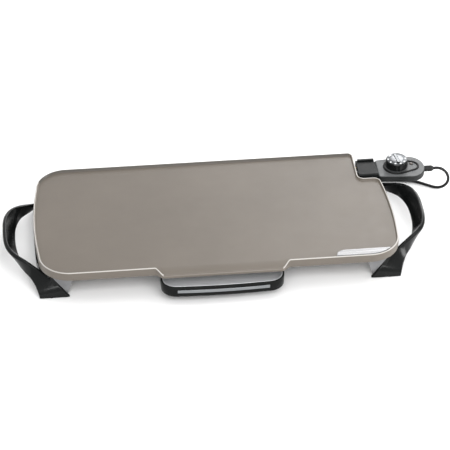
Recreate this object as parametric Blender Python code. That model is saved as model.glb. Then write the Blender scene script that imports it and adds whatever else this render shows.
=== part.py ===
"""Electric griddle: a wide coated casting on two push-in handles, with a grease tray and a plug-in heat control.

Metres, +Z up, -Y is the front (tray side), +X is the control side.  Everything is drawn about the middle of the
plate and hangs on one empty, which shifts it so that the world origin lies under the middle of the whole object.
"""
import math

import bmesh
import bpy
from mathutils import Vector

# ---- plate -------------------------------------------------------------------------------------------------
PLATE_RIGHT = 0.2848
PLATE_LEFT = 0.2885
PLATE_HALF_DEPTH = 0.139
RIM_TOP = 0.063
SURFACE_TOP = 0.0595
UNDERSIDE = 0.055
SKIRT_BOTTOM = 0.0484
SIDE_BOW = 0.76                 # how much the short sides curve in, metres per square metre
RIGHT_WIDEST = -0.037           # where along the depth each short side stands out furthest
LEFT_WIDEST = -0.008
CORNER_RADIUS = 0.050
LIP_REACH = 0.0135              # how far the pouring lip stands forward of the front rim
LIP_HALF = 0.0915
LIP_ROOT_HALF = 0.1065
LIP_SLANT = 0.384               # sideways shift of the lip's slanted ends for each metre of inset
NOTCH_X = 0.2429
NOTCH_Y = 0.0660
NOTCH_RADIUS = 0.010
NOTCH_OUTER_RADIUS = 0.012
REAR_RIGHT_RADIUS = 0.0090
BADGE_INNER = 0.1212            # distance of the badge's straight inner edge from the plate's middle
GAP = 0.0003                    # running gap between neighbouring pieces

# ---- handles -----------------------------------------------------------------------------------------------
HANDLE_THICKNESS = 0.0068
LEG_BOTTOM = 0.0015
BAR_LOW = 0.031
BAR_TOP = 0.0402
TONGUE_Y = 0.050
TONGUE_TIP = 0.208
TONGUE_SCREW_X = 0.273
FOOT_X = 0.2665
FOOT_Y = 0.1154
# The crossbar between the legs, seen from above: it tapers towards both ends.
BAR_OUTLINE = [(0.262, -0.106), (0.270, -0.106), (0.2875, -0.078), (0.2888, 0.0), (0.2875, 0.078), (0.270, 0.106),
               (0.262, 0.106)]
# Inner face of the handle band from its middle to the foot: top edge, then bottom edge, each (x, y, z).
HANDLE_KEYS = [
    ((0.3333, 0.0000, 0.0525), (0.3176, 0.0000, 0.0314)),
    ((0.3328, -0.0228, 0.0519), (0.3166, -0.0216, 0.0308)),
    ((0.3289, -0.0431, 0.0507), (0.3132, -0.0416, 0.0290)),
    ((0.3196, -0.0589, 0.0489), (0.3076, -0.0589, 0.0263)),
    ((0.3038, -0.0701, 0.0436), (0.3009, -0.0731, 0.0216)),
    ((0.2845, -0.0820, 0.0332), (0.2942, -0.0872, 0.0166)),
    ((0.2668, -0.0975, 0.0246), (0.2896, -0.1010, 0.0126)),
    ((0.2507, -0.1085, 0.0145), (0.2866, -0.1093, 0.0068)),
    ((0.2379, -0.1120, LEG_BOTTOM), (0.2852, -0.1120, LEG_BOTTOM)),
]

# ---- grease tray -------------------------------------------------------------------------------------------
TRAY_HALF = 0.0965
TRAY_FRONT = 0.1585             # distance of the tray's front face from the plate's middle
TRAY_REAR = 0.066
TRAY_BOTTOM = 0.0160
TRAY_LIP = 0.0365
TRAY_SIDE_TOP = 0.0440
TRAY_WALL = 0.0024
TRAY_BOW = 0.004

# ---- heat control ------------------------------------------------------------------------------------------
CONTROL_Y = 0.0985
CONTROL_END = 0.357
CONTROL_START = 0.2785
CONTROL_MIDDLE = 0.0973         # middle of the body, a little in front of the knob's axis
CONTROL_HALF = 0.0238           # half width at the plate end
CONTROL_WIDE_X = 0.3335         # where the body is widest, and its half width there
CONTROL_WIDE_HALF = 0.0282
CONTROL_LOW = 0.0445
CONTROL_SPLIT = 0.0512
CONTROL_TOP = 0.0580
NOSE_START = 0.2492
NOSE_HALF = 0.0192
NOSE_LOW = 0.0455
NOSE_TOP = 0.0572
PIN_Z = 0.0512
PIN_OFFSET = 0.0130
PIN_RADIUS = 0.00235
KNOB_X = 0.3106
KNOB_TOP = 0.0760
PLUG_WALL = 0.0018

# ---- mains lead --------------------------------------------------------------------------------------------
CORD_RADIUS = 0.0025
COIL_X = 0.165
COIL_Y = 0.1665
COIL_MID_RADIUS = 0.0275
COIL_HALF_WIDTH = 0.0079
COIL_HEIGHT = 0.0105
# Points of the loose stretch, chosen by hand: out of the strain relief, over in one loop, then along the table.
CORD_ROUTE = [
    (0.3725, 0.0985, 0.0508), (0.3800, 0.0985, 0.0508), (0.3880, 0.0986, 0.0475), (0.3953, 0.0990, 0.0395),
    (0.3992, 0.1000, 0.0285), (0.3984, 0.1018, 0.0178), (0.3935, 0.1045, 0.0092), (0.3865, 0.1080, 0.0041),
    (0.3785, 0.1118, 0.0027), (0.3700, 0.1172, 0.0027), (0.3620, 0.1228, 0.0027), (0.3535, 0.1282, 0.0027),
    (0.3440, 0.1322, 0.0027), (0.3330, 0.1348, 0.0027), (0.3180, 0.1372, 0.0027), (0.3000, 0.1395, 0.0027),
    (0.2800, 0.1410, 0.0027), (0.2600, 0.1412, 0.0027), (0.2400, 0.1402, 0.0027), (0.2220, 0.1385, 0.0027),
    (0.2050, 0.1365, 0.0027), (0.1950, 0.1353, 0.0027), (0.1852, 0.1344, 0.0027),
]
PLUG_PLACE = (0.1443, 0.1338)     # where the lead leaves the coil and enters the plug


# ---- materials ---------------------------------------------------------------------------------------------
def material(name, colour, roughness, metallic=0.0):
    made = bpy.data.materials.new(name)
    made.use_nodes = True
    shader = made.node_tree.nodes["Principled BSDF"]
    shader.inputs["Base Color"].default_value = (*colour, 1.0)
    shader.inputs["Roughness"].default_value = roughness
    shader.inputs["Metallic"].default_value = metallic
    return made


# ---- mesh helpers ------------------------------------------------------------------------------------------
def add_object(name, mesh, surface):
    """Put a mesh in the scene under the plate-centre empty."""
    for polygon in mesh.polygons:
        polygon.use_smooth = False
    mesh.materials.append(surface)
    made = bpy.data.objects.new(name, mesh)
    bpy.context.collection.objects.link(made)
    made.parent = plate_centre
    return made


def mesh_from(bm, name):
    """Face the surface outward and turn the working mesh into mesh data."""
    bmesh.ops.recalc_face_normals(bm, faces=bm.faces)
    mesh = bpy.data.meshes.new(name)
    bm.to_mesh(mesh)
    bm.free()
    return mesh


def add_loft(bm, rings):
    """Skin a list of rings, each a list of the same number of points, and close both ends."""
    rows = [[bm.verts.new(point) for point in ring] for ring in rings]
    count = len(rows[0])
    for low, high in zip(rows, rows[1:]):
        for i in range(count):
            j = (i + 1) % count
            bm.faces.new((low[i], low[j], high[j], high[i]))
    bm.faces.new(rows[0][::-1])
    bm.faces.new(rows[-1])


def add_box(bm, low, high):
    (x0, y0, z0), (x1, y1, z1) = low, high
    base = [(x0, y0), (x1, y0), (x1, y1), (x0, y1)]
    add_loft(bm, [[(x, y, z0) for x, y in base], [(x, y, z1) for x, y in base]])


def frame_across(direction):
    """Two unit vectors square to a direction."""
    helper = Vector((0, 0, 1)) if abs(direction.z) < 0.9 else Vector((1, 0, 0))
    side = direction.cross(helper).normalized()
    return side, direction.cross(side).normalized()


def add_turned(bm, start, direction, profile, sides):
    """Turn a profile of (distance along, radius) about an axis; a ring that returns makes a tube."""
    axis = Vector(direction).normalized()
    side, up = frame_across(axis)
    rings = []
    for along, radius in profile:
        centre = Vector(start) + axis * along
        angles = [2 * math.pi * i / sides for i in range(sides)]
        rings.append([centre + (side * math.cos(a) + up * math.sin(a)) * radius for a in angles])
    add_loft(bm, rings)


def add_tube(bm, start, direction, length, outer, inner, sides):
    """A plain sleeve, open at both ends."""
    axis = Vector(direction).normalized()
    side, up = frame_across(axis)
    angles = [2 * math.pi * i / sides for i in range(sides)]
    rings = []
    for along, radius in ((0, inner), (0, outer), (length, outer), (length, inner)):
        centre = Vector(start) + axis * along
        rings.append([centre + (side * math.cos(a) + up * math.sin(a)) * radius for a in angles])
    add_hoop(bm, rings)


def add_hoop(bm, outlines):
    """Skin outlines of the same number of points and join the last one to the first."""
    rows = [[bm.verts.new(point) for point in outline] for outline in outlines]
    for low, high in zip(rows, rows[1:] + rows[:1]):
        for i in range(len(low)):
            j = (i + 1) % len(low)
            bm.faces.new((low[i], low[j], high[j], high[i]))


def add_rod(bm, start, direction, length, radius, sides=16):
    add_turned(bm, start, direction, [(0, radius), (length, radius)], sides)


def boxes(name, spans, surface):
    bm = bmesh.new()
    for low, high in spans:
        add_box(bm, low, high)
    return add_object(name, mesh_from(bm, name), surface)


def apply_boolean(target, operation, build):
    """Join or cut with solids that build(bm) adds; the tool stays in the scene as a hidden guide."""
    bm = bmesh.new()
    build(bm)
    label = f"{target.name}_{operation.lower()}_{len(target.modifiers)}"
    tool = bpy.data.objects.new(label, mesh_from(bm, label))
    bpy.context.collection.objects.link(tool)
    tool.parent = plate_centre
    tool.hide_render = True
    tool.display_type = "WIRE"
    step = target.modifiers.new(operation.lower(), "BOOLEAN")
    step.operation = operation
    step.solver = "EXACT"
    step.object = tool


def cut(target, build):
    apply_boolean(target, "DIFFERENCE", build)


def join(target, build):
    """Union one tool solid; tool solids that touch each other need a call each."""
    apply_boolean(target, "UNION", build)


def arc(centre, radius, start, end, steps):
    """Points of an arc between two angles in degrees, both ends included."""
    angles = [math.radians(start + (end - start) * i / steps) for i in range(steps + 1)]
    return [(centre[0] + radius * math.cos(a), centre[1] + radius * math.sin(a)) for a in angles]


def smooth_curve(keys, steps):
    """Points of a smooth curve through every key, with the same number of steps in each span."""
    keys = [Vector(key) for key in keys]
    ends = [keys[0] * 2 - keys[1]] + keys + [keys[-1] * 2 - keys[-2]]
    points = []
    for a, b, c, d in zip(ends, ends[1:], ends[2:], ends[3:]):
        for i in range(steps):
            t = i / steps
            points.append(0.5 * (2 * b + (c - a) * t + (2 * a - 5 * b + 4 * c - d) * t ** 2
                                 + (3 * b - a - 3 * c + d) * t ** 3))
    points.append(keys[-1])
    return points


# ---- plate -------------------------------------------------------------------------------------------------
def side_x(y, side):
    """Distance of a short side from the plate's middle; side is 1 on the right and -1 on the left."""
    reach, widest = (PLATE_RIGHT, RIGHT_WIDEST) if side > 0 else (PLATE_LEFT, LEFT_WIDEST)
    return reach - SIDE_BOW * (y - widest) ** 2


def side_lean(y, side):
    """How many degrees a short side has turned from straight."""
    widest = RIGHT_WIDEST if side > 0 else LEFT_WIDEST
    return math.degrees(math.atan(2 * SIDE_BOW * (y - widest)))


def lip_share(x, inset):
    """0 on the plain front rim, 1 on the pouring lip, with a smooth step between."""
    root = LIP_ROOT_HALF - LIP_SLANT * inset
    tip = LIP_HALF - LIP_SLANT * inset
    t = min(max((root - abs(x)) / (root - tip), 0), 1)
    return t * t * (3 - 2 * t)


def plate_outline(inset, lip_reach=LIP_REACH):
    """The plate's outline, moved in by inset: always the same number of points, anticlockwise from above."""
    front = -(PLATE_HALF_DEPTH - inset)
    root = LIP_ROOT_HALF - LIP_SLANT * inset
    tip = LIP_HALF - LIP_SLANT * inset
    points = []
    stations = [-root + (root - tip) * i / 8 for i in range(9)]
    stations += [-tip / 3, tip / 3]
    stations += [tip + (root - tip) * i / 8 for i in range(9)]
    for x in stations:
        points.append((x, front - lip_reach * lip_share(x, inset)))
    corner = CORNER_RADIUS - inset
    corner_y = PLATE_HALF_DEPTH - CORNER_RADIUS
    right_x = side_x(-corner_y, 1) - CORNER_RADIUS
    points += arc((right_x, -corner_y), corner, -90, side_lean(-corner_y, 1), 8)
    points += [(side_x(y, 1) - inset, y) for y in (-0.06, -0.03, 0.0, 0.03)]
    outer_y = NOTCH_Y - NOTCH_OUTER_RADIUS
    outer = (side_x(outer_y, 1) - NOTCH_OUTER_RADIUS, outer_y)
    points += arc(outer, NOTCH_OUTER_RADIUS - inset, side_lean(outer_y, 1), 90, 6)
    inner = (NOTCH_X + NOTCH_RADIUS, NOTCH_Y + NOTCH_RADIUS)
    points += arc(inner, NOTCH_RADIUS + inset, 270, 180, 6)
    rear = (NOTCH_X - REAR_RIGHT_RADIUS, PLATE_HALF_DEPTH - REAR_RIGHT_RADIUS)
    points += arc(rear, REAR_RIGHT_RADIUS - inset, 0, 90, 4)
    rear_left = (CORNER_RADIUS - side_x(corner_y, -1), corner_y)
    points += arc(rear_left, corner, 90, 180 - side_lean(corner_y, -1), 8)
    points += [(inset - side_x(y, -1), y) for y in (0.06, 0.03, 0.0, -0.03, -0.06)]
    front_left = (CORNER_RADIUS - side_x(-corner_y, -1), -corner_y)
    points += arc(front_left, corner, 180 - side_lean(-corner_y, -1), 270, 8)
    return points


def plate_ring(inset, height, lip_height):
    """One ring of the plate, whose height changes over the pouring lip."""
    ring = []
    for x, y in plate_outline(inset):
        share = lip_share(x, inset) if y < 0 else 0
        ring.append((x, y, height + (lip_height - height) * share))
    return ring


def make_plate():
    rings = [
        plate_ring(0.0036, UNDERSIDE, UNDERSIDE),
        plate_ring(0.0032, SKIRT_BOTTOM, 0.0520),
        plate_ring(0.0, SKIRT_BOTTOM, 0.0520),
        plate_ring(0.0002, 0.0618, 0.0560),
        plate_ring(0.0009, RIM_TOP, 0.0568),
        plate_ring(0.0021, RIM_TOP, 0.0572),
        plate_ring(0.0034, SURFACE_TOP - 0.0004, 0.0570),
        plate_ring(0.0052, SURFACE_TOP, 0.0579),
        [(x, y, SURFACE_TOP) for x, y in plate_outline(0.0078, 0.003)],
    ]
    bm = bmesh.new()
    add_loft(bm, rings)
    plate = add_object("griddle_plate", mesh_from(bm, "griddle_plate"), CERAMIC_COAT)
    for side in (-1, 1):
        for y in (-TONGUE_Y, TONGUE_Y):
            join(plate, lambda bm: add_socket_block(bm, side, y))
    join(plate, add_terminal_boss)
    for x, y in RAIL_SCREWS:
        join(plate, lambda bm: add_rod(bm, (x, y, 0.0519), (0, 0, 1), 0.0037, 0.0045, 12))
    cut(plate, add_plate_holes)
    return plate


def mirrored_box(bm, side, low, high):
    """A box given for the right side, or its mirror image on the left."""
    xs = sorted((side * low[0], side * high[0]))
    add_box(bm, (xs[0], low[1], low[2]), (xs[1], high[1], high[2]))


def add_socket_block(bm, side, y):
    mirrored_box(bm, side, (0.203, y - 0.0125, 0.0375), (0.2585, y + 0.0125, 0.0556))


def add_terminal_boss(bm):
    low = (0.212, CONTROL_Y - 0.0225, 0.0455)
    add_box(bm, low, (NOTCH_X - 0.0006, CONTROL_Y + 0.0225, 0.0556))


RAIL_SCREWS = [(side * 0.1085, y) for side in (-1, 1) for y in (-0.115, -0.072)]
HOOD_SCREWS = [CONTROL_Y - 0.0180, CONTROL_Y + 0.0180]


def add_plate_holes(bm):
    """Handle sockets, rail screw holes, terminal bores and the probe's bore."""
    for side in (-1, 1):
        for y in (-TONGUE_Y, TONGUE_Y):
            mirrored_box(bm, side, (0.2055, y - 0.0086, 0.0400), (0.262, y + 0.0086, 0.0464))
    for x, y in RAIL_SCREWS:
        add_rod(bm, (x, y, 0.0510), (0, 0, 1), 0.0035, 0.0017, 12)
    for y in (CONTROL_Y - PIN_OFFSET, CONTROL_Y + PIN_OFFSET):
        add_rod(bm, (0.205, y, PIN_Z), (1, 0, 0), 0.040, 0.0041)
    add_rod(bm, (0.205, CONTROL_Y, PIN_Z), (1, 0, 0), 0.040, 0.0036)
    for y in HOOD_SCREWS:
        add_rod(bm, (0.2350, y, 0.0475), (1, 0, 0), 0.012, 0.0013, 10)


# ---- heating element and terminals ---------------------------------------------------------------------------
ELEMENT_FRONT = -0.045


def element_path():
    """A bent rod under the plate, from the rear terminal round to the front one."""
    high, low, left, right = CONTROL_Y + PIN_OFFSET, ELEMENT_FRONT, -0.190, 0.193
    bend = 0.030
    points = [(0.2085, high)]
    points += arc((left + bend, high - bend), bend, 90, 180, 6)
    points += arc((left + bend, low + bend), bend, 180, 270, 6)
    points += arc((right - bend, low + bend), bend, -90, 0, 6)
    end_y = CONTROL_Y - PIN_OFFSET
    points += arc((right + 0.013, end_y - 0.013), 0.013, 180, 90, 5)
    points.append((0.2085, end_y))
    return points


def make_element():
    curve = bpy.data.curves.new("heating_element", "CURVE")
    curve.dimensions = "3D"
    spline = curve.splines.new("POLY")
    path = element_path()
    spline.points.add(len(path) - 1)
    for point, (x, y) in zip(spline.points, path):
        point.co = (x, y, PIN_Z, 1)
    curve.bevel_depth = 0.0032
    curve.bevel_resolution = 2
    curve.use_fill_caps = True
    curve.materials.append(DARK_STEEL)
    element = bpy.data.objects.new("heating_element", curve)
    bpy.context.collection.objects.link(element)
    element.parent = plate_centre


def make_element_clips():
    """U-shaped saddles that hold the two long runs of the element up under the plate."""
    section = [(-0.0055, 0.0468), (0.0055, 0.0468), (0.0055, 0.0545), (0.0037, 0.0545),
               (0.0037, 0.0476), (-0.0037, 0.0476), (-0.0037, 0.0545), (-0.0055, 0.0545)]
    for label, y in (("front", ELEMENT_FRONT), ("rear", CONTROL_Y + PIN_OFFSET)):
        bm = bmesh.new()
        add_loft(bm, [[(x, y + dy, z) for dy, z in section] for x in (-0.006, 0.006)])
        add_object(f"element_clip_{label}", mesh_from(bm, f"element_clip_{label}"), STEEL)


def make_terminals():
    for label, y in (("front", CONTROL_Y - PIN_OFFSET), ("rear", CONTROL_Y + PIN_OFFSET)):
        bm = bmesh.new()
        profile = [(0, PIN_RADIUS), (0.0595, PIN_RADIUS), (0.0615, 0.0013)]
        add_turned(bm, (0.2088, y, PIN_Z), (1, 0, 0), profile, 14)
        add_object(f"terminal_pin_{label}", mesh_from(bm, f"terminal_pin_{label}"), BRASS)
        bm = bmesh.new()
        add_tube(bm, (0.2135, y, PIN_Z), (1, 0, 0), 0.031, 0.0038, PIN_RADIUS + GAP, 14)
        add_object(f"terminal_bushing_{label}", mesh_from(bm, f"terminal_bushing_{label}"), PORCELAIN)


def make_hood():
    """The cover over the terminals: a rear wall, two cheeks and a roof with a raised rear lip."""
    near, far_front, far_rear = 0.2453, 0.2780, 0.2762
    half, cheek = 0.0215, 0.0016
    section = [(-half, 0.0430), (half, 0.0430), (half, 0.0592), (half - 0.0016, 0.0605),
               (-half + 0.0016, 0.0605), (-half, 0.0592)]
    rear_end = [(near, CONTROL_Y + dy, z) for dy, z in section]
    open_end = [(far_rear if dy > 0 else far_front, CONTROL_Y + dy, z) for dy, z in section]
    bm = bmesh.new()
    add_loft(bm, [rear_end, open_end])
    hood = add_object("terminal_hood", mesh_from(bm, "terminal_hood"), BLACK_PHENOLIC)
    lip_low = (near + 0.003, CONTROL_Y + half - 0.0048, 0.0595)
    join(hood, lambda bm: add_box(bm, lip_low, (far_rear - 0.001, CONTROL_Y + half - 0.0010, 0.0632)))
    inner = half - cheek
    cavity = ((near + cheek, CONTROL_Y - inner, 0.0400), (far_front + 0.010, CONTROL_Y + inner, 0.0585))
    cut(hood, lambda bm: add_box(bm, *cavity))
    cut(hood, add_hood_holes)


def add_hood_holes(bm):
    for y in (CONTROL_Y - PIN_OFFSET, CONTROL_Y + PIN_OFFSET):
        add_rod(bm, (0.240, y, PIN_Z), (1, 0, 0), 0.010, 0.0042)
    add_rod(bm, (0.240, CONTROL_Y, PIN_Z), (1, 0, 0), 0.010, 0.0036)
    for y in HOOD_SCREWS:
        add_rod(bm, (0.240, y, 0.0475), (1, 0, 0), 0.010, 0.0013, 10)


def add_screws(name, places, direction, profile):
    """One turned screw at each place, numbered from 1."""
    for number, place in enumerate(places, 1):
        bm = bmesh.new()
        add_turned(bm, place, direction, profile, 10)
        add_object(f"{name}_{number}", mesh_from(bm, name), STEEL)


def make_hood_screws():
    profile = [(0, 0.0010), (0.0106, 0.0010), (0.0107, 0.0016), (0.0116, 0.0016), (0.0121, 0.0010)]
    add_screws("hood_screw", [(0.2364, y, 0.0475) for y in HOOD_SCREWS], (1, 0, 0), profile)


def badge_ring(inset, height):
    """The badge follows the rim round the front-right corner and has a straight inner edge."""
    low = -(PLATE_HALF_DEPTH - CORNER_RADIUS)
    radius = CORNER_RADIUS - inset
    start = -math.degrees(math.asin((BADGE_INNER + low) / radius))
    points = arc((side_x(low, 1) - CORNER_RADIUS, low), radius, start, -90, 7)
    points += [(0.1785, low - radius), (0.1812, -0.1266), (0.1860, -0.1230), (0.1930, -BADGE_INNER)]
    return [(x, y, height) for x, y in points]


def make_badge():
    """A blank polished plate that fills the front-right corner inside the rim."""
    bm = bmesh.new()
    add_loft(bm, [badge_ring(0.0056, SURFACE_TOP + GAP), badge_ring(0.0029, RIM_TOP - 0.0002)])
    add_object("badge_plate", mesh_from(bm, "badge_plate"), POLISHED)


# ---- handles -----------------------------------------------------------------------------------------------
def handle_rings(keys, steps):
    """Rounded sections along the band from the rear foot, round the grip, to the front foot."""
    tops = smooth_curve([key[0] for key in keys], steps)
    bottoms = smooth_curve([key[1] for key in keys], steps)
    centres = [(top + bottom) / 2 for top, bottom in zip(tops, bottoms)]
    half = []
    for i, (top, bottom) in enumerate(zip(tops, bottoms)):
        across = (bottom - top).normalized()
        if i == 0:
            along = Vector((0, -1, 0))
        elif i == len(tops) - 1:
            along = Vector((0, 0, -1))
        else:
            along = centres[i + 1] - centres[i - 1]
        outward = across.cross(along).normalized()
        if outward.x - outward.y < 0:
            outward = -outward
        half.append(handle_section(top, bottom, across, outward))
    mirrored = [[Vector((p.x, -p.y, p.z)) for p in ring] for ring in half[:0:-1]]
    return mirrored + half


def handle_section(top, bottom, across, outward):
    """Eight points round a flat bar with eased edges; its inner face runs from top to bottom."""
    ease = 0.0014
    thick = HANDLE_THICKNESS
    return [
        top + across * ease, bottom - across * ease,
        bottom + outward * ease, bottom + outward * (thick - ease),
        bottom - across * ease + outward * thick, top + across * ease + outward * thick,
        top + outward * (thick - ease), top + outward * ease,
    ]


def mirror_x(points, side):
    return [(side * x, y, z) for x, y, z in points]


def make_handle(name, side):
    bm = bmesh.new()
    add_loft(bm, [mirror_x(ring, side) for ring in handle_rings(HANDLE_KEYS, 3)])
    handle = add_object(name, mesh_from(bm, name), BLACK_PHENOLIC)
    join(handle, lambda bm: add_loft(bm, [[(side * x, y, z) for x, y in BAR_OUTLINE] for z in (BAR_LOW, BAR_TOP)]))
    for end in (-1, 1):
        join(handle, lambda bm: add_leg_web(bm, side, end))
    cut(handle, lambda bm: add_handle_holes(bm, side))


def add_leg_web(bm, side, end):
    """A thin gusset from the crossbar down to the inner corner of the foot."""
    shape = [(0.2405, 0.0035), (0.2560, 0.0035), (0.2680, 0.0370), (0.2300, 0.0370)]
    near, far = sorted((end * 0.1035, end * 0.1125))
    rows = [[(side * x, y, z) for x, z in shape] for y in (near, far)]
    add_loft(bm, rows)


def add_handle_holes(bm, side):
    for end in (-1, 1):
        add_rod(bm, (side * FOOT_X, end * FOOT_Y, -0.001), (0, 0, 1), 0.0085, 0.0017, 12)
        add_rod(bm, (side * TONGUE_SCREW_X, end * TONGUE_Y, 0.0360), (0, 0, 1), 0.010, 0.0015, 10)


def make_handle_fittings(label, side):
    """Steel tongues with their screws, the spring clips that hold them in, and the rubber feet."""
    for end_label, end in (("front", -1), ("rear", 1)):
        name = f"{label}_{end_label}_tongue"
        bm = bmesh.new()
        y = end * TONGUE_Y
        mirrored_box(bm, side, (TONGUE_TIP, y - 0.0080, 0.0405), (0.2825, y + 0.0080, 0.0425))
        tongue = add_object(name, mesh_from(bm, name), STEEL)
        cut(tongue, lambda bm: add_rod(bm, (side * TONGUE_SCREW_X, y, 0.039), (0, 0, 1), 0.006, 0.0015, 10))
        name = f"{label}_{end_label}_foot"
        bm = bmesh.new()
        profile = [(0, 0.0024), (0.0004, 0.0028), (0.0012, 0.0028), (0.0012001, 0.0014), (0.0065, 0.0014)]
        add_turned(bm, (side * FOOT_X, end * FOOT_Y, 0), (0, 0, 1), profile, 12)
        add_object(name, mesh_from(bm, name), RUBBER)
        name = f"{label}_{end_label}_spring_clip"
        bm = bmesh.new()
        add_spring_clip(bm, side, y)
        add_object(name, mesh_from(bm, name), STEEL)
    profile = [(0, 0.0012), (0.0062, 0.0012), (0.0063, 0.0028), (0.0074, 0.0028), (0.0082, 0.0018)]
    places = [(side * TONGUE_SCREW_X, y, 0.0365) for y in (-TONGUE_Y, TONGUE_Y)]
    add_screws(f"{label}_tongue_screw", places, (0, 0, 1), profile)


def add_spring_clip(bm, side, y):
    """An arched strip of spring steel that lies on the tongue and presses on the socket's roof."""
    thick = 0.0006
    stations = [0.212 + 0.036 * i / 8 for i in range(9)]
    arch = [0.0429 + 0.0024 * math.sin(math.pi * i / 8) for i in range(9)]
    lower = list(zip(stations, arch))
    upper = [(x, z + thick) for x, z in reversed(lower)]
    outline = lower + upper
    add_loft(bm, [[(side * x, y + dy, z) for x, z in outline] for dy in (-0.005, 0.005)])


# ---- grease tray -------------------------------------------------------------------------------------------
def tray_outline(inset, rear):
    """The tray from above: square at the back, round front corners and a slightly bowed front."""
    half = TRAY_HALF - inset
    reach_x, reach_y = 0.024 - inset, 0.023 - inset
    straight = half - reach_x
    points = [(half, -rear), (-half, -rear)]
    for i in range(8):
        a = math.radians(180 + 90 * i / 7)
        points.append((-straight + reach_x * math.cos(a), -tray_front(straight, inset) + reach_y
                       + reach_y * math.sin(a)))
    for share in (-0.5, 0.0, 0.5):
        points.append((share * straight, -tray_front(share * straight, inset)))
    for i in range(8):
        a = math.radians(270 + 90 * i / 7)
        points.append((straight + reach_x * math.cos(a), -tray_front(straight, inset) + reach_y
                       + reach_y * math.sin(a)))
    return points


def tray_front(x, inset):
    return TRAY_FRONT - inset - TRAY_BOW * (x / TRAY_HALF) ** 2


def tray_rim_height(y, low, high):
    """The tray's edge rises from its front lip to its sides."""
    start, end = -0.146, -0.110
    t = min(max((y - start) / (end - start), 0), 1)
    return low + (high - low) * t * t * (3 - 2 * t)


def tray_shell(bm, inset, rear, floor, low, high, wall):
    """An open pan: outer wall, rim and inner wall, as one skin."""
    outer = tray_outline(inset, rear)
    inner = tray_outline(inset + wall, rear + wall)
    base = tray_outline(inset + 0.004, rear + 0.004)
    inner_base = tray_outline(inset + wall + 0.004, rear + wall + 0.004)
    add_loft(bm, [
        [(x, y, floor) for x, y in base],
        [(x, y, floor + 0.004) for x, y in outer],
        [(x, y, tray_rim_height(y, low, high)) for x, y in outer],
        [(x, y, tray_rim_height(y, low, high)) for x, y in inner],
        [(x, y, floor + wall + 0.004) for x, y in inner],
        [(x, y, floor + wall) for x, y in inner_base],
    ])


def make_tray():
    bm = bmesh.new()
    tray_shell(bm, 0.0, TRAY_REAR, TRAY_BOTTOM, TRAY_LIP, TRAY_SIDE_TOP, TRAY_WALL)
    body = add_object("tray_body", mesh_from(bm, "tray_body"), BLACK_PHENOLIC)
    for side in (-1, 1):
        join(body, lambda bm: mirrored_box(bm, side, (TRAY_HALF - 0.0012, -0.108, 0.0425),
                                           (0.1005, -TRAY_REAR - 0.002, 0.0440)))
    cut(body, lambda bm: add_band(bm, 0.0010, 0.0004))
    bm = bmesh.new()
    add_band(bm, 0.0010 - GAP, 0.0)
    add_object("tray_trim_band", mesh_from(bm, "tray_trim_band"), POLISHED)
    bm = bmesh.new()
    inset = TRAY_WALL + GAP
    tray_shell(bm, inset, TRAY_REAR + inset, TRAY_BOTTOM + inset, TRAY_LIP - 0.0004, TRAY_SIDE_TOP - 0.0004, 0.0010)
    add_object("tray_pan", mesh_from(bm, "tray_pan"), ALUMINIUM)


def add_band(bm, depth, grow):
    """A shallow strip along the tray's front; the groove for it is the same strip, slightly larger."""
    low, high = 0.0245 - grow, 0.0300 + grow
    half = 0.072 + grow
    face = 0.0 if grow == 0 else -0.002
    xs = [half * (i / 6 - 1) for i in range(13)]
    outer = [(x, -tray_front(x, face)) for x in xs]
    inner = [(x, -tray_front(x, depth)) for x in reversed(xs)]
    outline = outer + inner
    add_loft(bm, [[(x, y, z) for x, y in outline] for z in (low, high)])


def make_tray_rails():
    """Two bent strips screwed under the plate; the tray's side flanges run on their lower edges."""
    for label, side in (("left", -1), ("right", 1)):
        name = f"tray_rail_{label}"
        bm = bmesh.new()
        section = [(0.0970, 0.0403), (0.1030, 0.0403), (0.1030, 0.0503), (0.1130, 0.0503),
                   (0.1130, 0.0516), (0.1016, 0.0516), (0.1016, 0.0417), (0.0970, 0.0417)]
        add_loft(bm, [[(side * x, y, z) for x, z in section] for y in (-0.125, -0.060)])
        rail = add_object(name, mesh_from(bm, name), STEEL)
        spots = [spot for spot in RAIL_SCREWS if spot[0] * side > 0]
        cut(rail, lambda bm: [add_rod(bm, (x, y, 0.049), (0, 0, 1), 0.004, 0.0017, 12) for x, y in spots])
    profile = [(0, 0.0016), (0.0006, 0.0026), (0.0016, 0.0026), (0.0017, 0.0013), (0.0056, 0.0013)]
    add_screws("rail_screw", [(x, y, 0.0484) for x, y in RAIL_SCREWS], (0, 0, 1), profile)


# ---- heat control ------------------------------------------------------------------------------------------
def control_outline(inset):
    """Seen from above: small corners at the plate end, sides that spread, and a round far end."""
    narrow, wide = CONTROL_HALF - inset, CONTROL_WIDE_HALF - inset
    small = 0.003
    reach = CONTROL_END - inset - CONTROL_WIDE_X
    start = CONTROL_START + inset
    points = [(start, CONTROL_MIDDLE - narrow + small), (start + small, CONTROL_MIDDLE - narrow)]
    for i in range(15):
        a = math.radians(-90 + 180 * i / 14)
        points.append((CONTROL_WIDE_X + reach * math.cos(a), CONTROL_MIDDLE + wide * math.sin(a)))
    points += [(start + small, CONTROL_MIDDLE + narrow), (start, CONTROL_MIDDLE + narrow - small)]
    return points


def control_ring(inset, height):
    return [(x, y, height) for x, y in control_outline(inset)]


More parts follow.
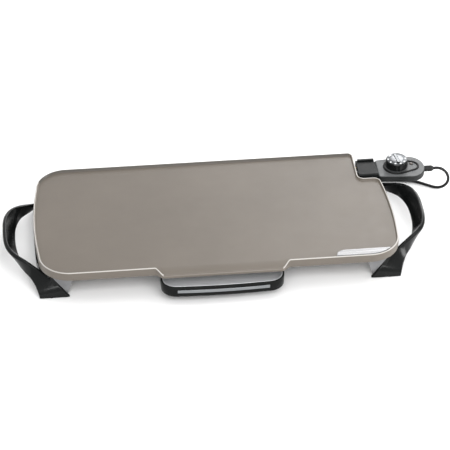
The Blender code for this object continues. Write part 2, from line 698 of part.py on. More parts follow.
def make_control_base():
    bm = bmesh.new()
    add_loft(bm, [control_ring(0.0045, CONTROL_LOW), control_ring(0.0, CONTROL_LOW + 0.0035),
                  control_ring(0.0, CONTROL_SPLIT)])
    base = add_object("control_base", mesh_from(bm, "control_base"), CONTROL_GREY)
    nose = ((NOSE_START, CONTROL_Y - NOSE_HALF, NOSE_LOW), (CONTROL_START + 0.004, CONTROL_Y + NOSE_HALF,
                                                           CONTROL_SPLIT))
    join(base, lambda bm: add_box(bm, *nose))
    hollow = CONTROL_LOW + PLUG_WALL
    cut(base, lambda bm: add_loft(bm, [control_ring(0.0045, hollow), control_ring(0.0018, hollow + 0.0020),
                                       control_ring(0.0018, 0.060)]))
    cut(base, lambda bm: add_nose_hollow(bm, NOSE_LOW + 0.0016, 0.060))
    cut(base, add_control_holes)
    cut(base, lambda bm: add_rod(bm, (*CONTROL_SCREW, 0.040), (0, 0, 1), 0.0075, 0.0014, 10))


def add_nose_hollow(bm, low, high):
    inner = NOSE_HALF - 0.0016
    add_box(bm, (NOSE_START + 0.0016, CONTROL_Y - inner, low), (CONTROL_START + 0.006, CONTROL_Y + inner, high))


def add_control_holes(bm):
    """Openings in the nose for the sleeves and the probe, and at the far end for the strain relief."""
    for offset in (-PIN_OFFSET, PIN_OFFSET):
        add_rod(bm, (NOSE_START - 0.003, CONTROL_Y + offset, PIN_Z), (1, 0, 0), 0.008, 0.0036)
    add_rod(bm, (NOSE_START - 0.003, CONTROL_Y, PIN_Z), (1, 0, 0), 0.008, 0.0034)
    add_rod(bm, (CONTROL_END - 0.008, CONTROL_Y, PIN_Z - 0.0004), (1, 0, 0), 0.012, 0.0046)


CONTROL_SCREW = (0.3395, CONTROL_Y + 0.0120)


def make_control_cover():
    low = CONTROL_SPLIT + GAP
    bm = bmesh.new()
    add_loft(bm, [control_ring(0.0, low), control_ring(0.0, CONTROL_TOP - 0.0022),
                  control_ring(0.0007, CONTROL_TOP - 0.0006), control_ring(0.0020, CONTROL_TOP)])
    cover = add_object("control_cover", mesh_from(bm, "control_cover"), CONTROL_GREY)
    nose = ((NOSE_START, CONTROL_Y - NOSE_HALF, low), (CONTROL_START + 0.004, CONTROL_Y + NOSE_HALF, NOSE_TOP))
    join(cover, lambda bm: add_box(bm, *nose))
    roof = CONTROL_TOP - PLUG_WALL
    cut(cover, lambda bm: add_loft(bm, [control_ring(0.0018, 0.040), control_ring(0.0018, roof)]))
    cut(cover, lambda bm: add_nose_hollow(bm, 0.040, NOSE_TOP - 0.0016))
    cut(cover, add_control_holes)
    cut(cover, add_cover_holes)


def add_cover_holes(bm):
    add_rod(bm, (KNOB_X, CONTROL_Y, 0.054), (0, 0, 1), 0.008, 0.0032)
    add_rod(bm, (LENS_X, LENS_Y, 0.054), (0, 0, 1), 0.008, 0.0024, 14)


LENS_X = KNOB_X + 0.0257
LENS_Y = CONTROL_Y + 0.0060


def bezel_outline(offset):
    """The line round the dial: a large circle round the knob drawn out to a smaller one by the lamp."""
    large, small, apart = 0.0203 + offset, 0.0120 + offset, 0.0239
    lean = math.degrees(math.acos((large - small) / apart))
    points = arc((KNOB_X + apart, CONTROL_Y), small, -lean, lean, 10)
    return points + arc((KNOB_X, CONTROL_Y), large, lean, 360 - lean, 26)


def make_control_trim():
    bm = bmesh.new()
    half_width, height = 0.0013, 0.0014
    low = CONTROL_TOP + GAP
    section = [(-half_width, low), (half_width, low), (half_width, low + height), (-half_width, low + height)]
    add_hoop(bm, [[(x, y, z) for x, y in bezel_outline(offset)] for offset, z in section])
    add_object("dial_bezel", mesh_from(bm, "dial_bezel"), BLACK_PHENOLIC)
    bm = bmesh.new()
    profile = [(0, 0.0021), (0.0026, 0.0021), (0.00261, 0.0030), (0.0032, 0.0030), (0.0038, 0.0018)]
    add_turned(bm, (LENS_X, LENS_Y, CONTROL_TOP - 0.0023), (0, 0, 1), profile, 14)
    add_object("pilot_lens", mesh_from(bm, "pilot_lens"), LENS_AMBER)
    bm = bmesh.new()
    add_turned(bm, (LENS_X, LENS_Y, 0.0478), (0, 0, 1), [(0, 0.0016), (0.0060, 0.0020), (0.0068, 0.0012)], 10)
    add_object("pilot_lamp", mesh_from(bm, "pilot_lamp"), GLASS)
    bm = bmesh.new()
    add_turned(bm, (*CONTROL_SCREW, CONTROL_LOW), (0, 0, 1), [(0, 0.0011), (0.0026, 0.0011), (0.0031, 0.0006)], 10)
    add_object("control_screw", mesh_from(bm, "control_screw"), STEEL)


def make_thermostat():
    """The works: a porcelain block with two contact sleeves and the probe, a frame, a bimetal blade."""
    bm = bmesh.new()
    add_box(bm, (0.2625, CONTROL_Y - 0.0172, 0.0473), (0.2750, CONTROL_Y + 0.0172, 0.0550))
    block = add_object("contact_block", mesh_from(bm, "contact_block"), PORCELAIN)
    cut(block, lambda bm: [add_rod(bm, (0.258, CONTROL_Y + dy, PIN_Z), (1, 0, 0), 0.020, radius)
                           for dy, radius in ((-PIN_OFFSET, 0.0036), (0, 0.0033), (PIN_OFFSET, 0.0036))])
    for label, offset in (("front", -PIN_OFFSET), ("rear", PIN_OFFSET)):
        bm = bmesh.new()
        start = (NOSE_START + 0.0020, CONTROL_Y + offset, PIN_Z)
        add_tube(bm, start, (1, 0, 0), 0.0270, 0.0033, PIN_RADIUS + GAP, 14)
        add_object(f"contact_sleeve_{label}", mesh_from(bm, f"contact_sleeve_{label}"), BRASS)
    bm = bmesh.new()
    add_turned(bm, (0.2075, CONTROL_Y, PIN_Z), (1, 0, 0), [(0, 0.0018), (0.0012, 0.0030), (0.0745, 0.0030)], 14)
    add_object("probe_tube", mesh_from(bm, "probe_tube"), STEEL)
    bm = bmesh.new()
    outline = [(0.2925, 0.0470), (0.3330, 0.0470), (0.3330, 0.0545), (0.3312, 0.0545), (0.3312, 0.0486),
               (0.2925, 0.0486)]
    add_loft(bm, [[(x, CONTROL_Y + dy, z) for x, z in outline] for dy in (-0.0045, 0.0045)])
    add_object("thermostat_frame", mesh_from(bm, "thermostat_frame"), STEEL)
    boxes("bimetal_blade", [((0.2860, CONTROL_Y - 0.0030, 0.0500), (0.3290, CONTROL_Y + 0.0030, 0.0507))], BRASS)


def make_knob():
    """Bottom skirt flaring out, straight side, flat top with a raised finger bar, on a steel shaft."""
    bm = bmesh.new()
    base = CONTROL_TOP + 0.0036
    profile = [(0, 0.0185), (0.0016, 0.0187), (0.0060, 0.0181), (0.0106, 0.0178), (0.0115, 0.0171)]
    add_turned(bm, (KNOB_X, CONTROL_Y, base), (0, 0, 1), profile, 32)
    knob = add_object("knob", mesh_from(bm, "knob"), BLACK_PHENOLIC)
    join(knob, lambda bm: add_finger_bar(bm, base + 0.0100, KNOB_TOP))
    cut(knob, lambda bm: add_rod(bm, (KNOB_X, CONTROL_Y, base - 0.002), (0, 0, 1), 0.0090, 0.0023, 14))
    bm = bmesh.new()
    add_rod(bm, (KNOB_X, CONTROL_Y, base + 0.0115 + GAP), (0, 0, 1), 0.0006, 0.0167, 32)
    face = add_object("knob_face", mesh_from(bm, "knob_face"), POLISHED)
    cut(face, lambda bm: add_finger_bar(bm, 0.070, KNOB_TOP + 0.004, GAP))
    bm = bmesh.new()
    profile = [(0, 0.0020), (0.0008, 0.0020), (0.00081, 0.0060), (0.0020, 0.0060), (0.00201, 0.0020),
               (0.0168, 0.0020)]
    add_turned(bm, (KNOB_X, CONTROL_Y, 0.0512), (0, 0, 1), profile, 14)
    add_object("knob_shaft", mesh_from(bm, "knob_shaft"), STEEL)


def add_finger_bar(bm, low, high, grow=0.0):
    """The raised bar across the knob, turned from the lead's direction."""
    turn = math.radians(98)
    half_length, half_width = 0.0125 + grow, 0.0026 + grow
    ends = [(-half_length, -half_width), (half_length, -half_width), (half_length, half_width),
            (-half_length, half_width)]
    corners = [(KNOB_X + x * math.cos(turn) - y * math.sin(turn),
                CONTROL_Y + x * math.sin(turn) + y * math.cos(turn)) for x, y in ends]
    add_loft(bm, [[(x, y, z) for x, y in corners] for z in (low, high)])


# ---- mains lead --------------------------------------------------------------------------------------------
def make_strain_relief():
    bm = bmesh.new()
    start = (CONTROL_END - 0.0065, CONTROL_Y, PIN_Z - 0.0004)
    profile = [(0, 0.0042), (0.0068, 0.0042), (0.0069, 0.0048), (0.0110, 0.0052), (0.0192, 0.0050), (0.0200, 0.0042),
               (0.0217, 0.0034)]
    add_turned(bm, start, (1, 0, 0), profile, 14)
    add_object("strain_relief", mesh_from(bm, "strain_relief"), RUBBER)


def make_cord():
    curve = bpy.data.curves.new("power_cord", "CURVE")
    curve.dimensions = "3D"
    spline = curve.splines.new("POLY")
    route = smooth_curve(CORD_ROUTE, 2)
    spline.points.add(len(route) - 1)
    for point, place in zip(spline.points, route):
        point.co = (*place, 1)
    curve.bevel_depth = CORD_RADIUS
    curve.bevel_resolution = 2
    curve.use_fill_caps = True
    curve.materials.append(RUBBER)
    cord = bpy.data.objects.new("power_cord", curve)
    bpy.context.collection.objects.link(cord)
    cord.parent = plate_centre


def make_coil():
    """The rest of the lead, wound three turns wide and two high into a flat ring."""
    middle = COIL_HEIGHT / 2
    ease = 0.0025
    section = [(-COIL_HALF_WIDTH + ease, 0), (COIL_HALF_WIDTH - ease, 0), (COIL_HALF_WIDTH, middle),
               (COIL_HALF_WIDTH - ease, COIL_HEIGHT), (-COIL_HALF_WIDTH + ease, COIL_HEIGHT),
               (-COIL_HALF_WIDTH, middle)]
    steps = 32
    rings = []
    for i in range(steps):
        a = 2 * math.pi * i / steps
        rings.append([(COIL_X + (COIL_MID_RADIUS + across) * math.cos(a),
                       COIL_Y + (COIL_MID_RADIUS + across) * math.sin(a), z) for across, z in section])
    bm = bmesh.new()
    add_hoop(bm, rings)
    add_object("cord_coil", mesh_from(bm, "cord_coil"), RUBBER)


def make_plug():
    """A two-blade plug lying flat beside the coil."""
    x0, y0 = PLUG_PLACE
    bm = bmesh.new()
    rings = []
    for along, half_width, low, high in ((0, 0.0036, 0.0022, 0.0092), (0.010, 0.0060, 0.0006, 0.0112),
                                         (0.024, 0.0110, 0.0003, 0.0123), (0.030, 0.0110, 0.0003, 0.0123)):
        ease = 0.0018
        section = [(-half_width + ease, low), (half_width - ease, low), (half_width, low + ease),
                   (half_width, high - ease), (half_width - ease, high), (-half_width + ease, high),
                   (-half_width, high - ease), (-half_width, low + ease)]
        rings.append([(x0 - along, y0 + y, z) for y, z in section])
    add_loft(bm, rings)
    plug = add_object("plug_body", mesh_from(bm, "plug_body"), RUBBER)
    blades = []
    for y in (-0.00635, 0.00635):
        blades.append(((x0 - 0.0455, y0 + y - 0.00075, 0.0032), (x0 - 0.0260, y0 + y + 0.00075, 0.0094)))
    cut(plug, lambda bm: [add_box(bm, (low[0], low[1] - GAP, low[2] - GAP), (high[0] + GAP, high[1] + GAP,
                                                                          high[2] + GAP)) for low, high in blades])
    for label, blade in zip(("front", "rear"), blades):
        boxes(f"plug_blade_{label}", [blade], BRASS)


# ---- build -------------------------------------------------------------------------------------------------
for old in list(bpy.data.objects):
    bpy.data.objects.remove(old, do_unlink=True)

plate_centre = bpy.data.objects.new("plate_centre", None)
bpy.context.collection.objects.link(plate_centre)
handle_reach = max(point.x for ring in handle_rings(HANDLE_KEYS, 3) for point in ring)
plate_centre.location = ((handle_reach - CONTROL_END) / 2, (TRAY_FRONT - PLATE_HALF_DEPTH) / 2, 0)

CERAMIC_COAT = material("ceramic_coat", (0.30, 0.265, 0.235), 0.45, 0.2)
BLACK_PHENOLIC = material("black_phenolic", (0.012, 0.012, 0.013), 0.28)
CONTROL_GREY = material("control_grey", (0.10, 0.10, 0.105), 0.5)
STEEL = material("steel", (0.45, 0.45, 0.46), 0.35, 1.0)
DARK_STEEL = material("dark_steel", (0.12, 0.11, 0.10), 0.5, 1.0)
BRASS = material("brass", (0.65, 0.48, 0.22), 0.35, 1.0)
POLISHED = material("polished_trim", (0.72, 0.72, 0.74), 0.2, 1.0)
ALUMINIUM = material("aluminium", (0.75, 0.76, 0.78), 0.3, 1.0)
PORCELAIN = material("porcelain", (0.80, 0.78, 0.72), 0.4)
RUBBER = material("rubber", (0.02, 0.02, 0.02), 0.6)
LENS_AMBER = material("lens_amber", (0.75, 0.30, 0.08), 0.2)
GLASS = material("glass", (0.9, 0.9, 0.9), 0.1)

make_plate()
make_element()
make_element_clips()
make_terminals()
make_hood()
make_hood_screws()
make_badge()
make_tray_rails()
for handle_label, handle_side in (("left", -1), ("right", 1)):
    make_handle(f"{handle_label}_handle", handle_side)
    make_handle_fittings(handle_label, handle_side)
make_tray()
make_control_base()
make_control_cover()
make_control_trim()
make_thermostat()
make_knob()
make_strain_relief()
make_cord()
make_coil()
make_plug()
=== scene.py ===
"""Looks of the electric griddle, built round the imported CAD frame.

Metres, +Z up, -Y is the front (tray side), +X is the control side.  Shapes are drawn about the middle of the
plate, as in the CAD, and moved into the frame when each piece is made.
"""
import math

import bmesh
import bpy
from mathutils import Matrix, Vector


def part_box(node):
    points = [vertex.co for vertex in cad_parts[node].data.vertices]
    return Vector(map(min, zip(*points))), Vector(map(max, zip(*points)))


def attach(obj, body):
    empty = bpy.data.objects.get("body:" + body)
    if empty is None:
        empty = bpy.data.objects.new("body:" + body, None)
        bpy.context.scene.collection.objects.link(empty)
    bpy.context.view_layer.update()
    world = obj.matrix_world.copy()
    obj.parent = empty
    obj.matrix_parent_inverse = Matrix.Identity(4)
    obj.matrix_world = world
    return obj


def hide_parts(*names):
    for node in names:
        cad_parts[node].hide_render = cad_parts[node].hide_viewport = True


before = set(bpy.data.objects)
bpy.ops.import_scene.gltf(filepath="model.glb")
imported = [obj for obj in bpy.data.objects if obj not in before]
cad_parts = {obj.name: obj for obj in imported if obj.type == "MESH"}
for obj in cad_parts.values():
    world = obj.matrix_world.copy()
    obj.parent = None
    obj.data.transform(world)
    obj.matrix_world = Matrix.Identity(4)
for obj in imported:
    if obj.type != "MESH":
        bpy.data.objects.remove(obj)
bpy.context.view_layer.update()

UP = (0, 0, 1)
RIGHT = (1, 0, 0)

# ---- camera ----
CAMERA_PLACE = (-0.26922, -2.81345, 2.1507)
CAMERA_TARGET = (0.0152, -0.02157, 0.05)
CAMERA_LENS = 176.1
SENSOR_WIDTH = 36.0

# ---- light and floor ----
WORLD_STRENGTH = 0.8
FLOOR_HALF = 6.0
# Each softbox: its place, what it points at, width, height and power in watts.
SOFTBOXES = {
    "rear": ((0.95, 1.65, 1.35), (0.1, 0, 0.05), 1.3, 0.7, 15),
    "rear_low": ((0.35, 2.1, 0.75), (0.15, 0, 0.05), 1.7, 0.5, 8),
    "top": ((0.3, -0.2, 1.9), (0, 0, 0.05), 1.6, 1.2, 10),
    "front": ((0.1, -2.0, 1.9), (0, 0, 0.05), 2.2, 1.1, 60),
    "right_side": ((1.85, -0.36, 0.34), (0.3, -0.08, 0.04), 0.7, 0.6, 13),
    "right_rear": ((1.25, 1.35, 0.32), (0.3, 0, 0.05), 0.6, 0.4, 4),
}

# ---- plate ----
PLATE_RIGHT = 0.2848
PLATE_LEFT = 0.2885
PLATE_HALF_DEPTH = 0.139
SURFACE_TOP = 0.0595
RIM_TOP = 0.063
LIP_RIM_TOP = 0.057
UNDERSIDE = 0.055
SKIRT_BOTTOM = 0.0484
SIDE_BOW = 0.76  # how much the short sides curve in, metres per square metre
RIGHT_WIDEST = -0.037  # where along the depth each short side stands out furthest
LEFT_WIDEST = -0.008
CORNER_RADIUS = 0.05
LIP_REACH = 0.0135  # how far the pouring lip stands forward of the front rim
LIP_HALF = 0.0915
LIP_ROOT_HALF = 0.1065
LIP_SLANT = 0.384  # sideways shift of the lip's slanted ends for each metre of inset
SURFACE_LIP_REACH = 0.003  # how far the flat surface runs out into the lip
NOTCH_X = 0.2429
NOTCH_Y = 0.066
NOTCH_RADIUS = 0.01
NOTCH_OUTER_RADIUS = 0.012
REAR_RIGHT_RADIUS = 0.009
BADGE_INNER = 0.1212  # distance of the badge's straight inner edge from the plate's middle
# The band of the rim crown that gets the painted highlight, across and up and down.
CROWN_WIDTH = 0.0034
CROWN_DEPTH = 0.0009
# The band along the back of the rim that gets the painted shade.
REAR_RIM_WIDTH = 0.0036
REAR_RIM_START = 0.107
GAP = 0.0003  # running gap between neighbouring pieces

# ---- castings under the plate ----
BLOCK_TOP = 0.0556  # every block runs this far up into the plate
SOCKET_START = 0.203
SOCKET_END = 0.2585
SOCKET_HALF = 0.0125
SOCKET_LOW = 0.0375
SLOT_START = 0.2055  # the hole in a socket, for the handle's tongue
SLOT_END = 0.262
SLOT_HALF = 0.0086
SLOT_LOW = 0.04
SLOT_TOP = 0.0464
BOSS_START = 0.212
BOSS_HALF = 0.0225
BOSS_LOW = 0.0455
RAIL_BOSS_HEIGHT = 0.0037
RAIL_BOSS_RADIUS = 0.0045
RAIL_SCREWS = [(side * 0.1085, y) for side in (-1, 1) for y in (-0.115, -0.072)]

# ---- handles ----
HANDLE_THICKNESS = 0.0068
HANDLE_EDGE = 0.0024  # radius of the band's rounded edges
LEG_BOTTOM = 0.0015
TONGUE_Y = 0.05
TONGUE_SCREW_X = 0.273
WEB_NEAR = 0.1035
WEB_FAR = 0.1125
# The gusset from the crossbar down to the foot, as (x, z); the line from its first point to its fourth parts
# the panel with the painted reflection from the black rib.
WEB_OUTLINE = [(0.2405, 0.0035), (0.256, 0.0035), (0.268, 0.037), (0.264, 0.037), (0.23, 0.037)]
FOOT_X = 0.2665
FOOT_Y = 0.1154
BAR_LOW = 0.031
BAR_TOP = 0.0402
# The crossbar between the legs, seen from above: it tapers towards both ends.
BAR_OUTLINE = [(0.262, -0.106), (0.27, -0.106), (0.2875, -0.078), (0.2888, 0.0), (0.2875, 0.078),
               (0.27, 0.106), (0.262, 0.106)]
# Inner face of the handle band from its middle to the foot: top edge, then bottom edge.
HANDLE_KEYS = [
    ((0.3333, 0.0000, 0.0525), (0.3176, 0.0000, 0.0314)),
    ((0.3328, -0.0228, 0.0519), (0.3166, -0.0216, 0.0308)),
    ((0.3289, -0.0431, 0.0507), (0.3132, -0.0416, 0.0290)),
    ((0.3196, -0.0589, 0.0489), (0.3076, -0.0589, 0.0263)),
    ((0.3038, -0.0701, 0.0436), (0.3009, -0.0731, 0.0216)),
    ((0.2845, -0.0820, 0.0332), (0.2942, -0.0872, 0.0166)),
    ((0.2668, -0.0975, 0.0246), (0.2896, -0.1010, 0.0126)),
    ((0.2507, -0.1085, 0.0145), (0.2866, -0.1093, 0.0068)),
    ((0.2379, -0.1120, LEG_BOTTOM), (0.2852, -0.1120, LEG_BOTTOM)),
]

# ---- grease tray ----
TRAY_HALF = 0.0965
TRAY_FRONT = 0.1585  # distance of the tray's front face from the plate's middle
TRAY_REAR = 0.066
TRAY_BOTTOM = 0.016
TRAY_LIP = 0.0365
TRAY_SIDE_TOP = 0.044
TRAY_WALL = 0.0024
TRAY_BOW = 0.004
TRAY_CORNER = (0.024, 0.023)
TRAY_BOTTOM_ROUND = 0.004
RISE_START = -0.146  # the tray's edge rises from here towards the back
RISE_LENGTH = 0.036
BAND_LOW = 0.0245
BAND_HIGH = 0.03
BAND_HALF = 0.072
BAND_DEPTH = 0.001

# ---- terminal hood ----
HOOD_NEAR = 0.2453
HOOD_FAR_FRONT = 0.278
HOOD_FAR_REAR = 0.2762
HOOD_HALF = 0.0215
HOOD_WALL = 0.0016
HOOD_TOP = 0.0605
HOOD_LOW = 0.043
HOOD_SCREW_Z = 0.0475

# ---- heat control ----
CONTROL_Y = 0.0985
CONTROL_END = 0.357
CONTROL_START = 0.2785
CONTROL_MIDDLE = 0.0973  # middle of the body, a little in front of the knob's axis
CONTROL_HALF = 0.0238  # half width at the plate end
CONTROL_WIDE_X = 0.3335  # where the body is widest, and its half width there
CONTROL_WIDE_HALF = 0.0282
CONTROL_LOW = 0.0445
CONTROL_SPLIT = 0.0512
CONTROL_TOP = 0.058
NOSE_START = 0.2492
NOSE_HALF = 0.0192
NOSE_LOW = 0.0455
NOSE_TOP = 0.0572
CONTROL_WALL = 0.0018
NOSE_WALL = 0.0016  # walls of the nose, which reaches under the hood
PIN_Z = 0.0512
PIN_OFFSET = 0.013
HOOD_SCREWS = [CONTROL_Y - 0.018, CONTROL_Y + 0.018]
LENS_PLACE = (0.3363, 0.1045)

# ---- dial and knob ----
KNOB_X = 0.3106
KNOB_BASE = CONTROL_TOP + 0.0036
KNOB_SHOULDER = KNOB_BASE + 0.0115
KNOB_TOP = 0.076
KNOB_TURN = 98  # direction of the finger bar at rest, in degrees
BAR_CAP = 0.0006  # thickness of the metal on the finger bar
FACE_THICKNESS = 0.0006
TICK_INNER = 0.0127
TICK_OUTER = 0.0156
# Where the marks stand round the dial and half the angle each spans, in degrees; off is the long one.
TICK_PLACES = [(132, 13), (180, 5.5), (217, 5.5), (252, 5.5), (287, 5.5), (322, 5.5), (0, 5.5)]

# ---- mains lead ----
CORD_RADIUS = 0.0025
CORD_EXIT = (0.3725, 0.0985, 0.0508)
# The loose stretch: out of the strain relief and over in one loop, then along the table to the coil.
CORD_LOOP = [
    CORD_EXIT, (0.38, 0.0985, 0.0508), (0.388, 0.0986, 0.0475), (0.3953, 0.099, 0.0395), (0.3992, 0.1, 0.0285),
    (0.3984, 0.1018, 0.0178), (0.3935, 0.1045, 0.0092), (0.3865, 0.108, 0.0041),
]
CORD_ON_TABLE = [
    (0.3785, 0.1118), (0.37, 0.1172), (0.362, 0.1228), (0.3535, 0.1282), (0.344, 0.1322), (0.333, 0.1348),
    (0.318, 0.1372), (0.3, 0.1395), (0.28, 0.141), (0.26, 0.1412), (0.24, 0.1402), (0.222, 0.1385),
    (0.205, 0.1365), (0.195, 0.1353), (0.1852, 0.1344), (0.175, 0.1339),
]
COIL_CENTRE = (0.165, 0.1665)
COIL_MID_RADIUS = 0.0275  # radius of the middle of three laps, in two layers
COIL_PITCH = 0.0052
COIL_LOW = 0.0027  # height of the lead's middle where it lies on the table
COIL_TURNS = 5
COIL_STEPS = 28
COIL_SHIFT_AT = 0.5  # in turns: where the lead crosses to the next lap, and how long it takes
COIL_SHIFT_SPAN = 0.14
TIE_HALF = 0.0079
PLUG_PLACE = (0.1443, 0.1338)

tray_low, tray_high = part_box("tray_body")
plate_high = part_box("griddle_plate")[1]
CENTRE = Vector(((tray_low.x + tray_high.x) / 2, plate_high.y - PLATE_HALF_DEPTH, 0))


# ---- curves and outlines ----
def smooth_curve(keys, steps):
    """Points of a smooth curve through every key, with the same number of steps in each span."""
    keys = [Vector(key) for key in keys]
    ends = [keys[0] * 2 - keys[1]] + keys + [keys[-1] * 2 - keys[-2]]
    points = []
    for a, b, c, d in zip(ends, ends[1:], ends[2:], ends[3:]):
        for i in range(steps):
            t = i / steps
            points.append(0.5 * (2 * b + (c - a) * t + (2 * a - 5 * b + 4 * c - d) * t ** 2
                                 + (3 * b - a - 3 * c + d) * t ** 3))
    points.append(keys[-1])
    return points


def arc(centre, radius, start, end, steps):
    """Points of an arc between two angles in degrees, ends included; radius is a number or one per axis."""
    radius_x, radius_y = radius if hasattr(radius, "__len__") else (radius, radius)
    angles = [math.radians(start + (end - start) * i / steps) for i in range(steps + 1)]
    return [(centre[0] + radius_x * math.cos(a), centre[1] + radius_y * math.sin(a)) for a in angles]


def rounded(corners, radii, steps=4, closed=True):
    """The outline with its corners turned into arcs of steps + 1 points; radii is one number or one each."""
    corners = [Vector(corner) for corner in corners]
    count = len(corners)
    if not hasattr(radii, "__len__"):
        radii = [radii] * count
    points = []
    for i, here in enumerate(corners):
        if not closed and i in (0, count - 1):
            points.append(here)
            continue
        before, after = corners[i - 1] - here, corners[(i + 1) % count] - here
        half = before.angle(after) / 2
        reach = min(radii[i] / math.tan(half), 0.48 * before.length, 0.48 * after.length)
        middle = before.normalized() + after.normalized()
        centre = here + middle.normalized() * reach / math.cos(half)
        first = here + before.normalized() * reach - centre
        last = here + after.normalized() * reach - centre
        for k in range(steps + 1):
            spoke = first.lerp(last, k / steps)
            points.append(centre + spoke.normalized() * first.length)
    return points


def ease(t):
    """A smooth step from 0 to 1."""
    t = min(max(t, 0), 1)
    return t * t * (3 - 2 * t)


def span(start, end, steps):
    """Evenly spaced numbers between two others, without the ends."""
    return [start + (end - start) * i / steps for i in range(1, steps)]


def level(outline, z):
    """The outline as a ring at one height."""
    return [(x, y, z) for x, y in outline]


# ---- mesh helpers ----
def skin(bm, rings, looped=False):
    """Skin rings of the same number of points; cap both ends, or join the last ring to the first."""
    rows = [[bm.verts.new(point) for point in ring] for ring in rings]
    pairs = list(zip(rows, rows[1:]))
    if looped:
        pairs.append((rows[-1], rows[0]))
    count = len(rows[0])
    for low, high in pairs:
        for i in range(count):
            j = (i + 1) % count
            bm.faces.new((low[i], low[j], high[j], high[i]))
    if not looped:
        bm.faces.new(rows[0][::-1])
        bm.faces.new(rows[-1])


def add_box(bm, low, high):
    (x0, y0, z0), (x1, y1, z1) = low, high
    base = [(x0, y0), (x1, y0), (x1, y1), (x0, y1)]
    skin(bm, [level(base, z) for z in (z0, z1)])


def mirrored_box(bm, side, low, high):
    xs = sorted((side * low[0], side * high[0]))
    add_box(bm, (xs[0], low[1], low[2]), (xs[1], high[1], high[2]))


def frame_across(axis):
    """Two unit vectors square to an axis."""
    helper = Vector(UP if abs(axis.z) < 0.9 else RIGHT)
    side = axis.cross(helper).normalized()
    return side, axis.cross(side).normalized()


def add_turned(bm, start, direction, profile, sides):
    """Turn a profile of (distance along, radius) about an axis."""
    axis = Vector(direction).normalized()
    side, up = frame_across(axis)
    angles = [2 * math.pi * i / sides for i in range(sides)]
    rings = []
    for along, radius in profile:
        centre = Vector(start) + axis * along
        rings.append([centre + (side * math.cos(a) + up * math.sin(a)) * radius for a in angles])
    skin(bm, rings)


def add_rod(bm, start, direction, length, radius, sides=24):
    add_turned(bm, start, direction, [(0, radius), (length, radius)], sides)


def new_object(name, data):
    """A new object of the scene."""
    made = bpy.data.objects.new(name, data)
    bpy.context.scene.collection.objects.link(made)
    return made


def loose_object(bm, name):
    """Turn a working mesh into an object of the scene, faced outward."""
    bmesh.ops.recalc_face_normals(bm, faces=bm.faces)
    mesh = bpy.data.meshes.new(name)
    bm.to_mesh(mesh)
    bm.free()
    return new_object(name, mesh)


def solid(build, *values, **named):
    """A working mesh with what one building function adds to it."""
    bm = bmesh.new()
    build(bm, *values, **named)
    return bm


def combine(bm, joins=(), cuts=()):
    """The working mesh after exact Booleans; each join or cut is a building function and its values."""
    target = loose_object(bm, "target")
    tools = []
    for operation, builder in [("UNION", join) for join in joins] + [("DIFFERENCE", cut) for cut in cuts]:
        tool = loose_object(solid(*builder), "tool")
        step = target.modifiers.new("combine", "BOOLEAN")
        step.operation = operation
        step.solver = "EXACT"
        step.object = tool
        tools.append(tool)
    shaped = target.evaluated_get(bpy.context.evaluated_depsgraph_get())
    result = bmesh.new()
    result.from_mesh(shaped.data)
    for done in [target] + tools:
        bpy.data.objects.remove(done, do_unlink=True)
    return result


def add_piece(bm, name, look, body, nodes=(), sharp=40):
    """Turn a working mesh into a piece of the model."""
    bmesh.ops.translate(bm, verts=bm.verts, vec=CENTRE)
    made = loose_object(bm, name)
    made.data.shade_smooth()
    made.data.set_sharp_from_angle(angle=math.radians(sharp))
    made.data.materials.append(look)
    settle(made, body, nodes)
    return made


def settle(made, body, nodes):
    """Say which body a piece rides on and which CAD nodes it stands for."""
    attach(made, body)
    if nodes:
        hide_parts(*nodes)


def bevel(made, width):
    """Round the edges sharper than 30 degrees, without changing the mesh below."""
    step = made.modifiers.new("edges", "BEVEL")
    step.width = width
    step.segments = 2
    step.limit_method = "ANGLE"
    step.angle_limit = math.radians(30)
    step.harden_normals = True


